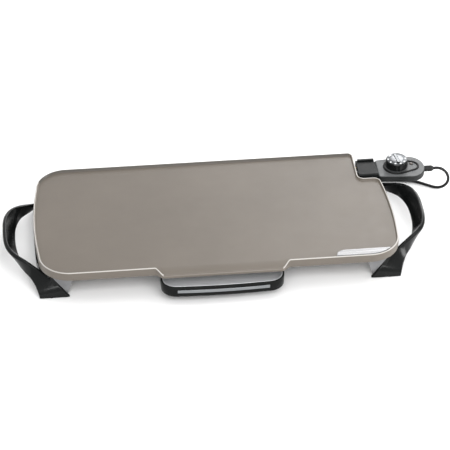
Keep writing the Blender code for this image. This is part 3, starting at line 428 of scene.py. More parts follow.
# ---- materials ----
class Look:
    """A Principled material with short calls for the nodes that feed it."""

    def __init__(self, name, **sockets):
        self.material = bpy.data.materials.new(name)
        self.material.use_nodes = True
        self.nodes = self.material.node_tree.nodes
        self.links = self.material.node_tree.links
        self.shader = self.nodes["Principled BSDF"]
        for label, value in sockets.items():
            self.shader.inputs[label.replace("_", " ")].default_value = value
        self.place = self.nodes.new("ShaderNodeTexCoord").outputs["Object"]

    def noise(self, scale, detail=2.0, stretch=(1, 1, 1)):
        """Noise of about one feature in 1 / scale metres, drawn out along an axis by a smaller stretch."""
        mapping = self.nodes.new("ShaderNodeMapping")
        mapping.inputs["Scale"].default_value = stretch
        texture = self.nodes.new("ShaderNodeTexNoise")
        texture.inputs["Scale"].default_value = scale
        texture.inputs["Detail"].default_value = detail
        self.links.new(self.place, mapping.inputs["Vector"])
        self.links.new(mapping.outputs["Vector"], texture.inputs["Vector"])
        return texture.outputs["Fac"]

    def ramp(self, value, *stops):
        """Colours along a value; each stop is a position and a grey or an RGB colour."""
        made = self.nodes.new("ShaderNodeValToRGB")
        elements = made.color_ramp.elements
        while len(elements) < len(stops):
            elements.new(0.5)
        for element, (at, colour) in zip(elements, stops):
            element.position = at
            rgb = colour if hasattr(colour, "__len__") else (colour, colour, colour)
            element.color = (*rgb, 1)
        self.links.new(value, made.inputs["Fac"])
        return made.outputs["Color"]

    def vary(self, scale, detail, low, high, reach=(0.3, 0.7), stretch=(1, 1, 1)):
        """A grey or a colour that wanders between two values; reach says where in the noise each is met."""
        return self.ramp(self.noise(scale, detail, stretch), (reach[0], low), (reach[1], high))

    def mix(self, share, first, second):
        """Colour mixing; share is a number or a socket, the others a socket or an RGB colour."""
        made = self.nodes.new("ShaderNodeMix")
        made.data_type = "RGBA"
        for label, value in ((0, share), (6, first), (7, second)):
            if isinstance(value, bpy.types.NodeSocket):
                self.links.new(value, made.inputs[label])
            elif label:
                made.inputs[label].default_value = (*value, 1)
            else:
                made.inputs[label].default_value = value
        return made.outputs[2]

    def feed(self, **sockets):
        """Link outputs to the shader's sockets."""
        for label, source in sockets.items():
            self.links.new(source, self.shader.inputs[label.replace("_", " ")])

    def bump(self, *layers):
        """Bumps on top of each other; each layer is a height, a strength and a depth in metres."""
        normal = None
        for height, strength, depth in layers:
            made = self.nodes.new("ShaderNodeBump")
            made.inputs["Strength"].default_value = strength
            made.inputs["Distance"].default_value = depth
            self.links.new(height, made.inputs["Height"])
            if normal:
                self.links.new(normal, made.inputs["Normal"])
            normal = made.outputs["Normal"]
        if normal:
            self.links.new(normal, self.shader.inputs["Normal"])


def plain_look(name, colour, rough, *bumps, **sockets):
    """Colour and roughness are values for vary; a bump is (scale, detail, strength, depth)."""
    look = Look(name, **sockets)
    look.feed(Base_Color=look.vary(*colour), Roughness=look.vary(*rough))
    look.bump(*[(look.noise(scale, detail), strength, depth) for scale, detail, strength, depth in bumps])
    return look.material


def ceramic_look(name, low, high, rough):
    """Satin grey-brown ceramic coat: faint clouds, fine speckle and a fine orange peel."""
    look = Look(name, Metallic=0.0, IOR=1.5, Coat_Weight=0.05, Coat_Roughness=0.35)
    fleck = look.vary(1900, 1, 0, 1, (0.6, 0.74))
    pits = look.vary(1250, 2, 0, 1, (0.63, 0.72))
    clouds = look.vary(9, 3, low, high)
    colour = look.mix(look.mix(0.22, (0, 0, 0), fleck), clouds, [1.5 * part for part in high])
    colour = look.mix(look.mix(0.22, (0, 0, 0), pits), colour, [0.6 * part for part in low])
    look.feed(Base_Color=colour, Roughness=look.vary(60, 4, rough - 0.03, rough + 0.04))
    look.bump((look.noise(700, 2), 0.1, 0.0002), (look.noise(35, 2), 0.05, 0.001))
    return look.material


def phenolic_look(name, low, high, rough, shine):
    """Moulded black plastic with faint handling marks."""
    marks = (160, 5, rough - 0.04, rough + 0.06, (0.35, 0.75), (1, 1, 0.3))
    return plain_look(name, (45, 3, low, high, (0.35, 0.68)), marks, (1400, 2, 0.05, 0.0001),
                      (60, 2, 0.03, 0.0006), Specular_IOR_Level=shine)


def control_top_look():
    """Mid-grey moulded plastic with a fine spark-eroded grain."""
    look = Look("control_grey", Specular_IOR_Level=0.45)
    grain = look.noise(2100, 2)
    pits = look.mix(0.25, (0, 0, 0), look.ramp(grain, (0.45, 0.0), (0.62, 1.0)))
    colour = look.vary(120, 4, (0.088, 0.091, 0.093), (0.108, 0.111, 0.113))
    look.feed(Base_Color=look.mix(pits, colour, (0.048, 0.05, 0.052)), Roughness=look.vary(90, 3, 0.42, 0.52))
    look.bump((grain, 0.22, 0.00012))
    return look.material


def metal_look(name, low, high, roughness, brush, shine=1):
    """Bare metal with brush lines drawn out along one axis; a lower shine makes it a paler, duller sheet."""
    look = Look(name, Metallic=shine)
    lines = look.noise(900, 3, brush)
    colour = look.ramp(lines, (0.3, low), (0.7, high))
    rough = look.vary(300, 4, roughness - 0.06, roughness + 0.08, (0.25, 0.75), brush)
    look.feed(Base_Color=colour, Roughness=rough)
    look.bump((lines, 0.12, 0.00008), (look.noise(50, 2), 0.05, 0.0005))
    return look.material


def rubber_look(name, grey, roughness):
    """Matt black rubber or cable sheath with a dusty grain."""
    return plain_look(name, (260, 4, grey * 0.8, grey * 1.35, (0.3, 0.75)),
                      (180, 3, roughness - 0.07, roughness + 0.07), (2600, 2, 0.2, 0.0001),
                      Specular_IOR_Level=0.22)


def sheath_look():
    """Dark steel tube with the straw and blue stains of heat."""
    look = Look("element_sheath", Metallic=1.0)
    stain = look.ramp(look.noise(38, 3), (0.3, (0.075, 0.066, 0.058)), (0.5, (0.13, 0.105, 0.078)),
                      (0.7, (0.072, 0.078, 0.095)))
    look.feed(Base_Color=stain, Roughness=look.vary(400, 4, 0.38, 0.56))
    look.bump((look.noise(1200, 3), 0.2, 0.0001))
    return look.material


CERAMIC = ceramic_look("ceramic_coat", (0.104, 0.088, 0.071), (0.119, 0.101, 0.082), 0.42)
# Painted highlight: a paler, glossier coat on the rim crown for the light it catches.
RIM_PAINTED_HIGHLIGHT = ceramic_look("rim_painted_highlight", (0.36, 0.345, 0.32), (0.42, 0.4, 0.375), 0.34)
# Painted shade: a darker coat along the rear rim and round the rear-left corner.
RIM_PAINTED_SHADE = ceramic_look("rear_rim_painted_shade", (0.062, 0.055, 0.046), (0.078, 0.069, 0.058), 0.46)
PHENOLIC = phenolic_look("black_phenolic", (0.004, 0.0045, 0.0045), (0.006, 0.0065, 0.0065), 0.2, 0.2)
# Painted reflection: a mid grey on the outer panels of the black gussets, for the light they reflect.
WEB_PAINTED_REFLECTION = phenolic_look("leg_web", (0.16, 0.16, 0.165), (0.22, 0.22, 0.225), 0.35, 0.3)
HOOD_PLASTIC = phenolic_look("hood_plastic", (0.005, 0.006, 0.006), (0.008, 0.009, 0.009), 0.36, 0.13)
TRAY_PLASTIC = phenolic_look("tray_plastic", (0.004, 0.0045, 0.0045), (0.006, 0.0065, 0.0065), 0.22, 0.1)
OUTLINE_BLACK = phenolic_look("outline_black", (0.003, 0.003, 0.003), (0.005, 0.005, 0.005), 0.45, 0.15)
CONTROL_GREY = control_top_look()
CHARCOAL = plain_look("control_charcoal", (110, 4, (0.012, 0.013, 0.013), (0.018, 0.019, 0.019)),
                      (90, 3, 0.4, 0.5), (2100, 2, 0.25, 0.00012), Specular_IOR_Level=0.25)
PAN_METAL = metal_look("bare_aluminium", (0.63, 0.64, 0.66), (0.75, 0.76, 0.78), 0.3, (0.03, 1, 1), shine=0.2)
BAND_METAL = metal_look("polished_trim", (0.2, 0.21, 0.22), (0.29, 0.3, 0.31), 0.3, (0.02, 1, 1))
BADGE_METAL = metal_look("badge_metal", (0.17, 0.17, 0.172), (0.24, 0.24, 0.243), 0.26, (0.03, 1, 1))
DIAL_METAL = metal_look("dial_metal", (0.095, 0.1, 0.105), (0.125, 0.13, 0.135), 0.34, (1, 1, 1))
DISC_METAL = metal_look("dial_disc", (0.2, 0.205, 0.215), (0.26, 0.265, 0.275), 0.3, (1, 1, 1))
BAR_METAL = metal_look("dial_bar", (0.13, 0.135, 0.14), (0.17, 0.175, 0.18), 0.26, (1, 1, 1))
STEEL = metal_look("plated_steel", (0.5, 0.5, 0.51), (0.62, 0.62, 0.63), 0.3, (1, 0.2, 1))
BRASS = metal_look("brass", (0.62, 0.45, 0.2), (0.74, 0.56, 0.28), 0.3, (0.2, 1, 1))
RUBBER = rubber_look("black_rubber", 0.018, 0.55)
CABLE = rubber_look("cable_sheath", 0.007, 0.45)
SHEATH = sheath_look()
PORCELAIN = plain_look("porcelain", (240, 4, (0.66, 0.63, 0.56), (0.78, 0.75, 0.68)), (500, 3, 0.3, 0.45),
                       (1500, 2, 0.15, 0.0001), IOR=1.5)
LENS = plain_look("amber_lens", (900, 2, (0.032, 0.02, 0.014), (0.05, 0.032, 0.022)), (1500, 2, 0.12, 0.22),
                  (1100, 1, 0.3, 0.0001), Transmission_Weight=0.15, IOR=1.49)
LAMP = plain_look("lamp_glass", (700, 2, (0.85, 0.82, 0.78), (0.95, 0.93, 0.9)), (900, 2, 0.03, 0.1),
                  Transmission_Weight=0.8, IOR=1.45)
TICKS = plain_look("dial_marks", (1500, 2, (0.62, 0.63, 0.64), (0.72, 0.73, 0.74)), (900, 2, 0.32, 0.45),
                   Specular_IOR_Level=0.5)
FLOOR = plain_look("floor", (3, 2, 0.9, 0.92), (40, 2, 0.75, 0.85), Specular_IOR_Level=0.2)


# ---- camera, light and floor ----
def facing(start, end):
    """The turn that points a camera or a light from one place at another."""
    return (Vector(end) - Vector(start)).to_track_quat("-Z", "Y").to_euler()


def make_camera():
    """The camera of the main view."""
    data = bpy.data.cameras.new("camera")
    data.lens = CAMERA_LENS
    data.sensor_width = SENSOR_WIDTH
    data.clip_end = 30
    camera = new_object("camera", data)
    camera.location = Vector(CAMERA_PLACE) + CENTRE
    camera.rotation_euler = facing(CAMERA_PLACE, CAMERA_TARGET)
    bpy.context.scene.camera = camera


def add_softbox(name, place, aim, width, height, power):
    """A white rectangle of light; the power is in watts."""
    data = bpy.data.lights.new(name, "AREA")
    data.shape = "RECTANGLE"
    data.size = width
    data.size_y = height
    data.energy = power
    light = new_object(name, data)
    light.location = place
    light.rotation_euler = facing(place, aim)


def make_studio():
    """A plain white floor lit by a soft even dome and a few softboxes."""
    world = bpy.data.worlds.new("studio")
    world.use_nodes = True
    dome = world.node_tree.nodes["Background"].inputs
    dome["Color"].default_value = (1, 1, 1, 1)
    dome["Strength"].default_value = WORLD_STRENGTH
    bpy.context.scene.world = world
    for name, settings in SOFTBOXES.items():
        add_softbox(name, *settings)
    bm = bmesh.new()
    corners = [(x * FLOOR_HALF, y * FLOOR_HALF, 0) for x, y in ((-1, -1), (1, -1), (1, 1), (-1, 1))]
    bm.faces.new([bm.verts.new(corner) for corner in corners])
    floor = loose_object(bm, "floor")
    floor.data.materials.append(FLOOR)
    bpy.context.scene.view_settings.view_transform = "Standard"


# ---- mains lead ----
def coil_lap(turn):
    """Radius and height at a number of turns: in along the lower layer, up, and out along the upper one."""
    radii = [COIL_MID_RADIUS + COIL_PITCH * side for side in (1, 0, -1)]
    laps = [(radius, COIL_LOW) for radius in radii]
    laps += [(radius, COIL_LOW + COIL_PITCH) for radius in radii[::-1]]
    past = turn - COIL_SHIFT_AT + COIL_SHIFT_SPAN / 2
    if past < 0:
        return laps[0]
    number = min(int(past) + 1, len(laps) - 1)
    share = ease((past - int(past)) / COIL_SHIFT_SPAN)
    before, after = laps[number - 1], laps[number]
    return tuple(a + (b - a) * share for a, b in zip(before, after))


def coil_points():
    """Points along the coil, from where the loose stretch meets it to where the tail leaves."""
    x, y = COIL_CENTRE
    points = []
    for step in range(COIL_TURNS * COIL_STEPS + 1):
        turn = step / COIL_STEPS
        angle = -math.pi / 2 - 2 * math.pi * turn
        radius, height = coil_lap(turn)
        points.append(Vector((x + radius * math.cos(angle), y + radius * math.sin(angle), height)))
    return points


def make_lead():
    """The lead as one curve: the loose loop, the coil and the short tail into the plug."""
    loose = smooth_curve(CORD_LOOP + level(CORD_ON_TABLE, COIL_LOW), 4)
    coil = coil_points()
    tail = smooth_curve([coil[-1], (0.156, PLUG_PLACE[1], 0.0075), (0.15, PLUG_PLACE[1], 0.0064),
                         (PLUG_PLACE[0] + GAP, PLUG_PLACE[1], 0.0058)], 4)
    route = loose + coil + tail[1:]
    curve = bpy.data.curves.new("mains_lead", "CURVE")
    curve.dimensions = "3D"
    spline = curve.splines.new("POLY")
    spline.points.add(len(route) - 1)
    for point, place in zip(spline.points, route):
        point.co = (*(place + CENTRE), 1)
    spline.use_smooth = True
    curve.bevel_depth = 0.96 * CORD_RADIUS
    curve.bevel_resolution = 4
    curve.use_fill_caps = True
    curve.materials.append(CABLE)
    lead = new_object("mains_lead", curve)
    settle(lead, "control", ("power_cord", "cord_coil"))
    return lead


def make_tie():
    """A narrow strap drawn tight round one side of the coil."""
    angle = -math.pi / 2 - 2 * math.pi * COIL_SHIFT_AT
    across = Vector((math.cos(angle), math.sin(angle), 0))
    along = Vector((-math.sin(angle), math.cos(angle), 0))
    low, high = 0.0001, COIL_LOW + COIL_PITCH + CORD_RADIUS + 0.0007
    middle = Vector((*COIL_CENTRE, 0)) + across * COIL_MID_RADIUS
    section = rounded([(-TIE_HALF, low), (TIE_HALF, low), (TIE_HALF, high), (-TIE_HALF, high)], 0.0026, 5)

    def ring(shift, narrow, lift=0.0, squash=1.0):
        centre = middle + along * shift
        return [centre + across * (u * narrow) + Vector((0, 0, lift + w * squash)) for u, w in section]

    half_width, flat = 0.0035, 0.0031  # over all, and of the flat outside between its rounded edges
    edge = 1 - 0.0002 / TIE_HALF
    rings = [ring(-half_width, edge), ring(-flat, 1), ring(flat, 1), ring(half_width, edge)]
    rings += [ring(shift, 0.93, 0.0006, 0.9) for shift in (half_width, -half_width)]
    return add_piece(solid(skin, rings, looped=True), "lead_tie", RUBBER, "control")


def make_strain_relief():
    """A grooved sleeve that narrows at its end."""
    start = (CONTROL_END - 0.0065, CONTROL_Y, PIN_Z - 0.0004)
    profile = [(0, 0.0042), (0.0068, 0.0042), (0.0069, 0.0046), (0.0073, 0.0049)]
    for i in range(4):
        at = 0.0095 + 0.0026 * i
        profile += [(at - 0.0005, 0.0051), (at - 0.0002, 0.0047), (at + 0.0002, 0.0047), (at + 0.0005, 0.0051)]
    profile += [(0.0188, 0.005), (0.0193, 0.0048), (0.0201, 0.004), (0.0217, 0.0034)]
    bm = solid(add_turned, start, RIGHT, profile, 32)
    return add_piece(bm, "lead_strain_relief", RUBBER, "control", ("strain_relief",))


# ---- plate ----
def side_x(y, side):
    """Distance of a short side from the plate's middle; side is 1 on the right and -1 on the left."""
    reach, widest = (PLATE_RIGHT, RIGHT_WIDEST) if side > 0 else (PLATE_LEFT, LEFT_WIDEST)
    return reach - SIDE_BOW * (y - widest) ** 2


def side_lean(y, side):
    """How many degrees a short side has turned from straight."""
    widest = RIGHT_WIDEST if side > 0 else LEFT_WIDEST
    return math.degrees(math.atan(2 * SIDE_BOW * (y - widest)))


def lip_share(x, inset):
    """0 on the plain front rim, 1 on the pouring lip, with a smooth step between."""
    root = LIP_ROOT_HALF - LIP_SLANT * inset
    tip = LIP_HALF - LIP_SLANT * inset
    return ease((root - abs(x)) / (root - tip))


def plate_outline(inset, lip_reach=LIP_REACH):
    """The plate's outline, moved in by inset: always the same number of points, anticlockwise from above."""
    front = -(PLATE_HALF_DEPTH - inset)
    root = LIP_ROOT_HALF - LIP_SLANT * inset
    tip = LIP_HALF - LIP_SLANT * inset
    corner = CORNER_RADIUS - inset
    corner_y = PLATE_HALF_DEPTH - CORNER_RADIUS
    right_x = side_x(-corner_y, 1) - CORNER_RADIUS
    left_x = CORNER_RADIUS - side_x(-corner_y, -1)
    stations = span(left_x, -root, 8) + [-root] + span(-root, -tip, 20) + [-tip] + span(-tip, tip, 12) + [tip]
    stations += span(tip, root, 20) + [root] + span(root, right_x, 8)
    points = [(x, front - lip_reach * lip_share(x, inset)) for x in stations]
    points += arc((right_x, -corner_y), corner, -90, side_lean(-corner_y, 1), 30)
    outer_y = NOTCH_Y - NOTCH_OUTER_RADIUS
    points += [(side_x(y, 1) - inset, y) for y in span(-corner_y, outer_y, 16)]
    outer = (side_x(outer_y, 1) - NOTCH_OUTER_RADIUS, outer_y)
    points += arc(outer, NOTCH_OUTER_RADIUS - inset, side_lean(outer_y, 1), 90, 16)
    inner = (NOTCH_X + NOTCH_RADIUS, NOTCH_Y + NOTCH_RADIUS)
    points += arc(inner, NOTCH_RADIUS + inset, 270, 180, 14)
    rear = (NOTCH_X - REAR_RIGHT_RADIUS, PLATE_HALF_DEPTH - REAR_RIGHT_RADIUS)
    points += arc(rear, REAR_RIGHT_RADIUS - inset, 0, 90, 12)
    rear_left = (CORNER_RADIUS - side_x(corner_y, -1), corner_y)
    points += [(x, PLATE_HALF_DEPTH - inset) for x in span(rear[0], rear_left[0], 20)]
    points += arc(rear_left, corner, 90, 180 - side_lean(corner_y, -1), 30)
    points += [(inset - side_x(y, -1), y) for y in span(corner_y, -corner_y, 20)]
    points += arc((left_x, -corner_y), corner, 180 - side_lean(-corner_y, -1), 270, 30)
    return points


def plate_ring(inset, height, lip_height):
    """One ring of the plate, whose height changes over the pouring lip."""
    ring = []
    for x, y in plate_outline(inset):
        share = lip_share(x, inset) if y < 0 else 0
        ring.append((x, y, height + (lip_height - height) * share))
    return ring


def add_terminal_bores(bm, start, length, pin_bore, probe_bore):
    """Bores for the two terminal pins and, between them, the probe."""
    for offset, radius in ((-PIN_OFFSET, pin_bore), (PIN_OFFSET, pin_bore), (0, probe_bore)):
        add_rod(bm, (start, CONTROL_Y + offset, PIN_Z), RIGHT, length, radius)


def add_hood_screw_holes(bm, start, length):
    for y in HOOD_SCREWS:
        add_rod(bm, (start, y, HOOD_SCREW_Z), RIGHT, length, 0.0013, 10)


def add_plate_blocks(bm):
    """Cast blocks under the plate: four handle sockets, the terminal boss and the rail screw bosses."""
    for side in (-1, 1):
        for y in (-TONGUE_Y, TONGUE_Y):
            low, high = y - SOCKET_HALF, y + SOCKET_HALF
            mirrored_box(bm, side, (SOCKET_START, low, SOCKET_LOW), (SOCKET_END, high, BLOCK_TOP))
    low, high = CONTROL_Y - BOSS_HALF, CONTROL_Y + BOSS_HALF
    add_box(bm, (BOSS_START, low, BOSS_LOW), (NOTCH_X - 2 * GAP, high, BLOCK_TOP))
    for x, y in RAIL_SCREWS:
        add_rod(bm, (x, y, BLOCK_TOP - RAIL_BOSS_HEIGHT), UP, RAIL_BOSS_HEIGHT, RAIL_BOSS_RADIUS)


def add_plate_holes(bm):
    """Handle sockets, rail screw holes, terminal bores and the probe's bore."""
    for side in (-1, 1):
        for y in (-TONGUE_Y, TONGUE_Y):
            mirrored_box(bm, side, (SLOT_START, y - SLOT_HALF, SLOT_LOW), (SLOT_END, y + SLOT_HALF, SLOT_TOP))
    for x, y in RAIL_SCREWS:
        add_rod(bm, (x, y, 0.051), UP, 0.0035, 0.0017, 12)
    add_terminal_bores(bm, start=0.205, length=0.04, pin_bore=0.0041, probe_bore=0.0036)
    add_hood_screw_holes(bm, start=0.235, length=0.012)


def make_plate():
    """The casting: hollow skirt, narrow rim crown with a groove inside it, and a lip with a small bead."""
    corners = [(0.0036, UNDERSIDE, UNDERSIDE), (0.0032, SKIRT_BOTTOM, 0.052), (0.0, SKIRT_BOTTOM, 0.052),
               (0.0002, 0.0618, 0.056), (0.0009, RIM_TOP, 0.0568), (0.0021, RIM_TOP, 0.0572),
               (0.0034, SURFACE_TOP - 0.0004, 0.057), (0.0052, SURFACE_TOP, 0.0579),
               (0.007, SURFACE_TOP, 0.0584)]
    radii = [0, 0.0006, 0.0012, 0.001, 0.0006, 0.0006, 0.001, 0.0016, 0]
    profile = rounded(corners, radii, 3, closed=False)
    rings = [plate_ring(*place) for place in profile]
    rings += [level(plate_outline(inset, SURFACE_LIP_REACH), SURFACE_TOP) for inset in (0.0078, 0.0088)]
    bm = combine(solid(skin, rings), joins=[(add_plate_blocks,)], cuts=[(add_plate_holes,)])
    casting = add_piece(bm, "griddle_casting", CERAMIC, "plate", ("griddle_plate",), sharp=50)
    # The second look is a painted highlight on the rim's crown.
    casting.data.materials.append(RIM_PAINTED_HIGHLIGHT)
    # The third look is painted shade along the rear rim.
    casting.data.materials.append(RIM_PAINTED_SHADE)
    for face in casting.data.polygons:
        face.material_index = 2 if on_shaded_rear_rim(face) else int(on_highlit_crown(face))


def on_highlit_crown(face):
    """Whether a face is on the crown of the rim, which gets a paler coat as a painted highlight; the lip's
    front is not.
    """
    x, y, z = face.center - CENTRE
    share = lip_share(x, 0) if y < -0.9 * PLATE_HALF_DEPTH else 0
    crown = RIM_TOP + (LIP_RIM_TOP - RIM_TOP) * share
    on_lip = share > 0 and abs(x) < LIP_ROOT_HALF
    inside_lip = y + PLATE_HALF_DEPTH + LIP_REACH * share > CROWN_WIDTH
    return face.normal.z > 0.4 and abs(z - crown) < CROWN_DEPTH and share < 0.97 and not (on_lip and inside_lip)


def on_shaded_rear_rim(face):
    """Whether a face is on the rim along the back or round the rear-left corner, which gets a darker coat as
    painted shade.
    """
    x, y, z = face.center - CENTRE
    corner_y = PLATE_HALF_DEPTH - CORNER_RADIUS
    corner_x = CORNER_RADIUS - side_x(corner_y, -1)
    if x < corner_x:
        inset = CORNER_RADIUS - math.hypot(x - corner_x, y - corner_y)
    else:
        inset = PLATE_HALF_DEPTH - y
    return y > REAR_RIM_START and inset < REAR_RIM_WIDTH and z > SURFACE_TOP - 0.001


def badge_ring(inset, height):
    """The badge follows the rim round the front-right corner and has a straight inner edge."""
    low = -(PLATE_HALF_DEPTH - CORNER_RADIUS)
    radius = CORNER_RADIUS - inset
    start = -math.degrees(math.asin((BADGE_INNER + low) / radius))
    points = arc((side_x(low, 1) - CORNER_RADIUS, low), radius, start, -90, 30)
    points += [(0.1785, low - radius), (0.1812, -0.1266), (0.186, -0.123), (0.193, -BADGE_INNER)]
    return level(points, height)


def make_badge():
    """A blank polished plate that fills the front-right corner inside the rim."""
    levels = [(0.0056, SURFACE_TOP + GAP), (0.0031, RIM_TOP - 0.0006), (0.0031, RIM_TOP - 0.0004),
              (0.0036, RIM_TOP - 0.0002), (0.0044, RIM_TOP - 0.0002)]
    bm = solid(skin, [badge_ring(*place) for place in levels])
    add_piece(bm, "corner_badge", BADGE_METAL, "plate", ("badge_plate",))


# ---- handles ----
def handle_rings(steps):
    """Rounded sections along the band from the rear foot, round the grip, to the front foot."""
    tops = smooth_curve([key[0] for key in HANDLE_KEYS], steps)
    bottoms = smooth_curve([key[1] for key in HANDLE_KEYS], steps)
    centres = [(top + bottom) / 2 for top, bottom in zip(tops, bottoms)]
    half = []
    for i, (top, bottom) in enumerate(zip(tops, bottoms)):
        across = (bottom - top).normalized()
        if i == 0:
            along = Vector((0, -1, 0))
        elif i == len(tops) - 1:
            along = Vector((0, 0, -1))
        else:
            along = centres[i + 1] - centres[i - 1]
        outward = across.cross(along).normalized()
        if outward.x - outward.y < 0:
            outward = -outward
        corners = [top, bottom, bottom + outward * HANDLE_THICKNESS, top + outward * HANDLE_THICKNESS]
        half.append(rounded(corners, HANDLE_EDGE, 5))
    mirrored = [[Vector((p.x, -p.y, p.z)) for p in ring] for ring in half[:0:-1]]
    return mirrored + half


def add_handle_bar(bm, side):
    """The crossbar between the legs, that carries the tongues."""
    outline = rounded(BAR_OUTLINE, [0.0005, 0.004, 0.05, 0.15, 0.05, 0.004, 0.0005], 8)
    mirrored = [(side * x, y) for x, y in outline]
    skin(bm, [level(mirrored, z) for z in (BAR_LOW, BAR_TOP)])


def add_leg_web(bm, side, end):
    """A thin gusset; its flat faces are split along the line between the panel with the painted reflection and
    the black rib.
    """
    near, far = sorted((end * WEB_NEAR, end * WEB_FAR))
    rows = [[bm.verts.new((side * x, y, z)) for x, z in WEB_OUTLINE] for y in (near, far)]
    for i in range(len(WEB_OUTLINE)):
        bm.faces.new((rows[0][i - 1], rows[0][i], rows[1][i], rows[1][i - 1]))
    for row in rows:
        bm.faces.new(row[:4])
        bm.faces.new((row[0], row[3], row[4]))


def add_handle_holes(bm, side):
    """Holes for the studs of the feet and for the tongue screws."""
    for end in (-1, 1):
        add_rod(bm, (side * FOOT_X, end * FOOT_Y, -0.001), UP, 0.0085, 0.0017)
        add_rod(bm, (side * TONGUE_SCREW_X, end * TONGUE_Y, 0.036), UP, 0.01, 0.0015)


def make_handle(label, side):
    """One handle moulding: the band and its legs, the crossbar and the two gussets."""
    rings = [[(side * p.x, p.y, p.z) for p in ring] for ring in handle_rings(8)]
    joins = [(add_handle_bar, side), (add_leg_web, side, -1), (add_leg_web, side, 1)]
    bm = combine(solid(skin, rings), joins, [(add_handle_holes, side)])
    handle = f"{label}_handle"
    grip = add_piece(bm, f"{label}_grip", PHENOLIC, handle, (handle,), sharp=38)
    # The second look is a painted reflection: grey on the gussets' outer panels of the black moulding.
    grip.data.materials.append(WEB_PAINTED_REFLECTION)
    for face in grip.data.polygons:
        face.material_index = int(on_painted_web_panel(face, side))


def on_painted_web_panel(face, side):
    """Whether a face is the flat outer side of a gusset's panel, which gets a grey look as a painted
    reflection.
    """
    x, y, z = face.center - CENTRE
    (foot_x, foot_z), (top_x, top_z) = WEB_OUTLINE[0], WEB_OUTLINE[3]
    rib_x = foot_x + (top_x - foot_x) * (z - foot_z) / (top_z - foot_z)
    return abs(face.normal.y) > 0.98 and abs(abs(y) - WEB_FAR) < 0.0002 and side * x < rib_x and z < BAR_TOP


# ---- grease tray ----
def tray_front(x, inset):
    """Distance of the tray's front face from the plate's middle, at one place across."""
    return TRAY_FRONT - inset - TRAY_BOW * (x / TRAY_HALF) ** 2


def tray_outline(inset, rear):
    """The tray from above: square at the back, round front corners and a slightly bowed front."""
    half = TRAY_HALF - inset
    corner = [reach - inset for reach in TRAY_CORNER]
    straight = half - corner[0]
    corner_y = corner[1] - tray_front(straight, inset)
    points = [(x, -rear) for x in span(half, -half, 8)] + [(-half, -rear)]
    points += arc((-straight, corner_y), corner, 180, 270, 28)
    points += [(x, -tray_front(x, inset)) for x in span(-straight, straight, 20)]
    points += arc((straight, corner_y), corner, 270, 360, 28)
    points.append((half, -rear))
    return points


def tray_rim_height(y, low, high):
    """The tray's edge rises from its front lip to its sides."""
    return low + (high - low) * ease((y - RISE_START) / RISE_LENGTH)


def add_tray_shell(bm, inset, rear, floor, low, high, wall, roll):
    """An open pan with a rounded bottom edge and a rolled rim."""
    edge = [(TRAY_BOTTOM_ROUND * (1 - v), TRAY_BOTTOM_ROUND * (1 - u)) for u, v in arc((0, 0), 1, 0, 90, 5)]
    rings = [level(tray_outline(inset + inward, rear + inward), floor + rise) for inward, rise in edge]
    for share, dip in ((0.0, 1), (0.12, 0.3), (0.35, 0), (0.65, 0), (0.88, 0.3), (1.0, 1)):
        rings.append([(x, y, tray_rim_height(y, low, high) - roll * dip)
                      for x, y in tray_outline(inset + wall * share, rear + wall * share)])
    for inward, rise in reversed(edge):
        rings.append(level(tray_outline(inset + wall + inward, rear + wall + inward), floor + wall + rise))
    skin(bm, rings)


def add_band(bm, depth, grow=0.0):
    """A shallow strip along the tray's front; the cutter of its groove is larger and stands out in front."""
    half = BAND_HALF + grow
    face = -0.002 if grow else 0.0
    xs = [half * (i / 24 - 1) for i in range(49)]
    outer = [(x, -tray_front(x, face)) for x in xs]
    inner = [(x, -tray_front(x, depth)) for x in reversed(xs)]
    skin(bm, [level(outer + inner, z) for z in (BAND_LOW - grow, BAND_HIGH + grow)])


def make_tray():
    """The tray's shell with its two flanges, the band let into its front and the bare metal pan inside."""
    flange_low, flange_high = (TRAY_HALF - 0.0012, -0.108, 0.0425), (0.1005, -TRAY_REAR - 0.002, TRAY_SIDE_TOP)
    bm = solid(add_tray_shell, 0.0, TRAY_REAR, TRAY_BOTTOM, TRAY_LIP, TRAY_SIDE_TOP, TRAY_WALL, 0.0008)
    bm = combine(bm, joins=[(mirrored_box, side, flange_low, flange_high) for side in (-1, 1)],
                 cuts=[(add_band, BAND_DEPTH, 0.0004)])
    add_piece(bm, "tray_shell", TRAY_PLASTIC, "tray", ("tray_body",))
    bm = solid(add_band, BAND_DEPTH - GAP)
    bevel(add_piece(bm, "tray_band", BAND_METAL, "tray", ("tray_trim_band",)), 0.0004)
    inset = TRAY_WALL + GAP
    bm = solid(add_tray_shell, inset, TRAY_REAR + inset, TRAY_BOTTOM + inset, TRAY_LIP - 0.0004,
               TRAY_SIDE_TOP - 0.0004, 0.001, 0.0003)
    add_piece(bm, "tray_liner", PAN_METAL, "tray", ("tray_pan",), sharp=60)


# ---- terminal hood ----
def hood_edge(across):
    """The far edge of the hood, hollowed in the middle."""
    middle = (HOOD_FAR_FRONT + HOOD_FAR_REAR) / 2
    lean = (HOOD_FAR_REAR - HOOD_FAR_FRONT) / 2
    return middle + lean * across / HOOD_HALF - 0.0012 * (1 - (across / HOOD_HALF) ** 2)


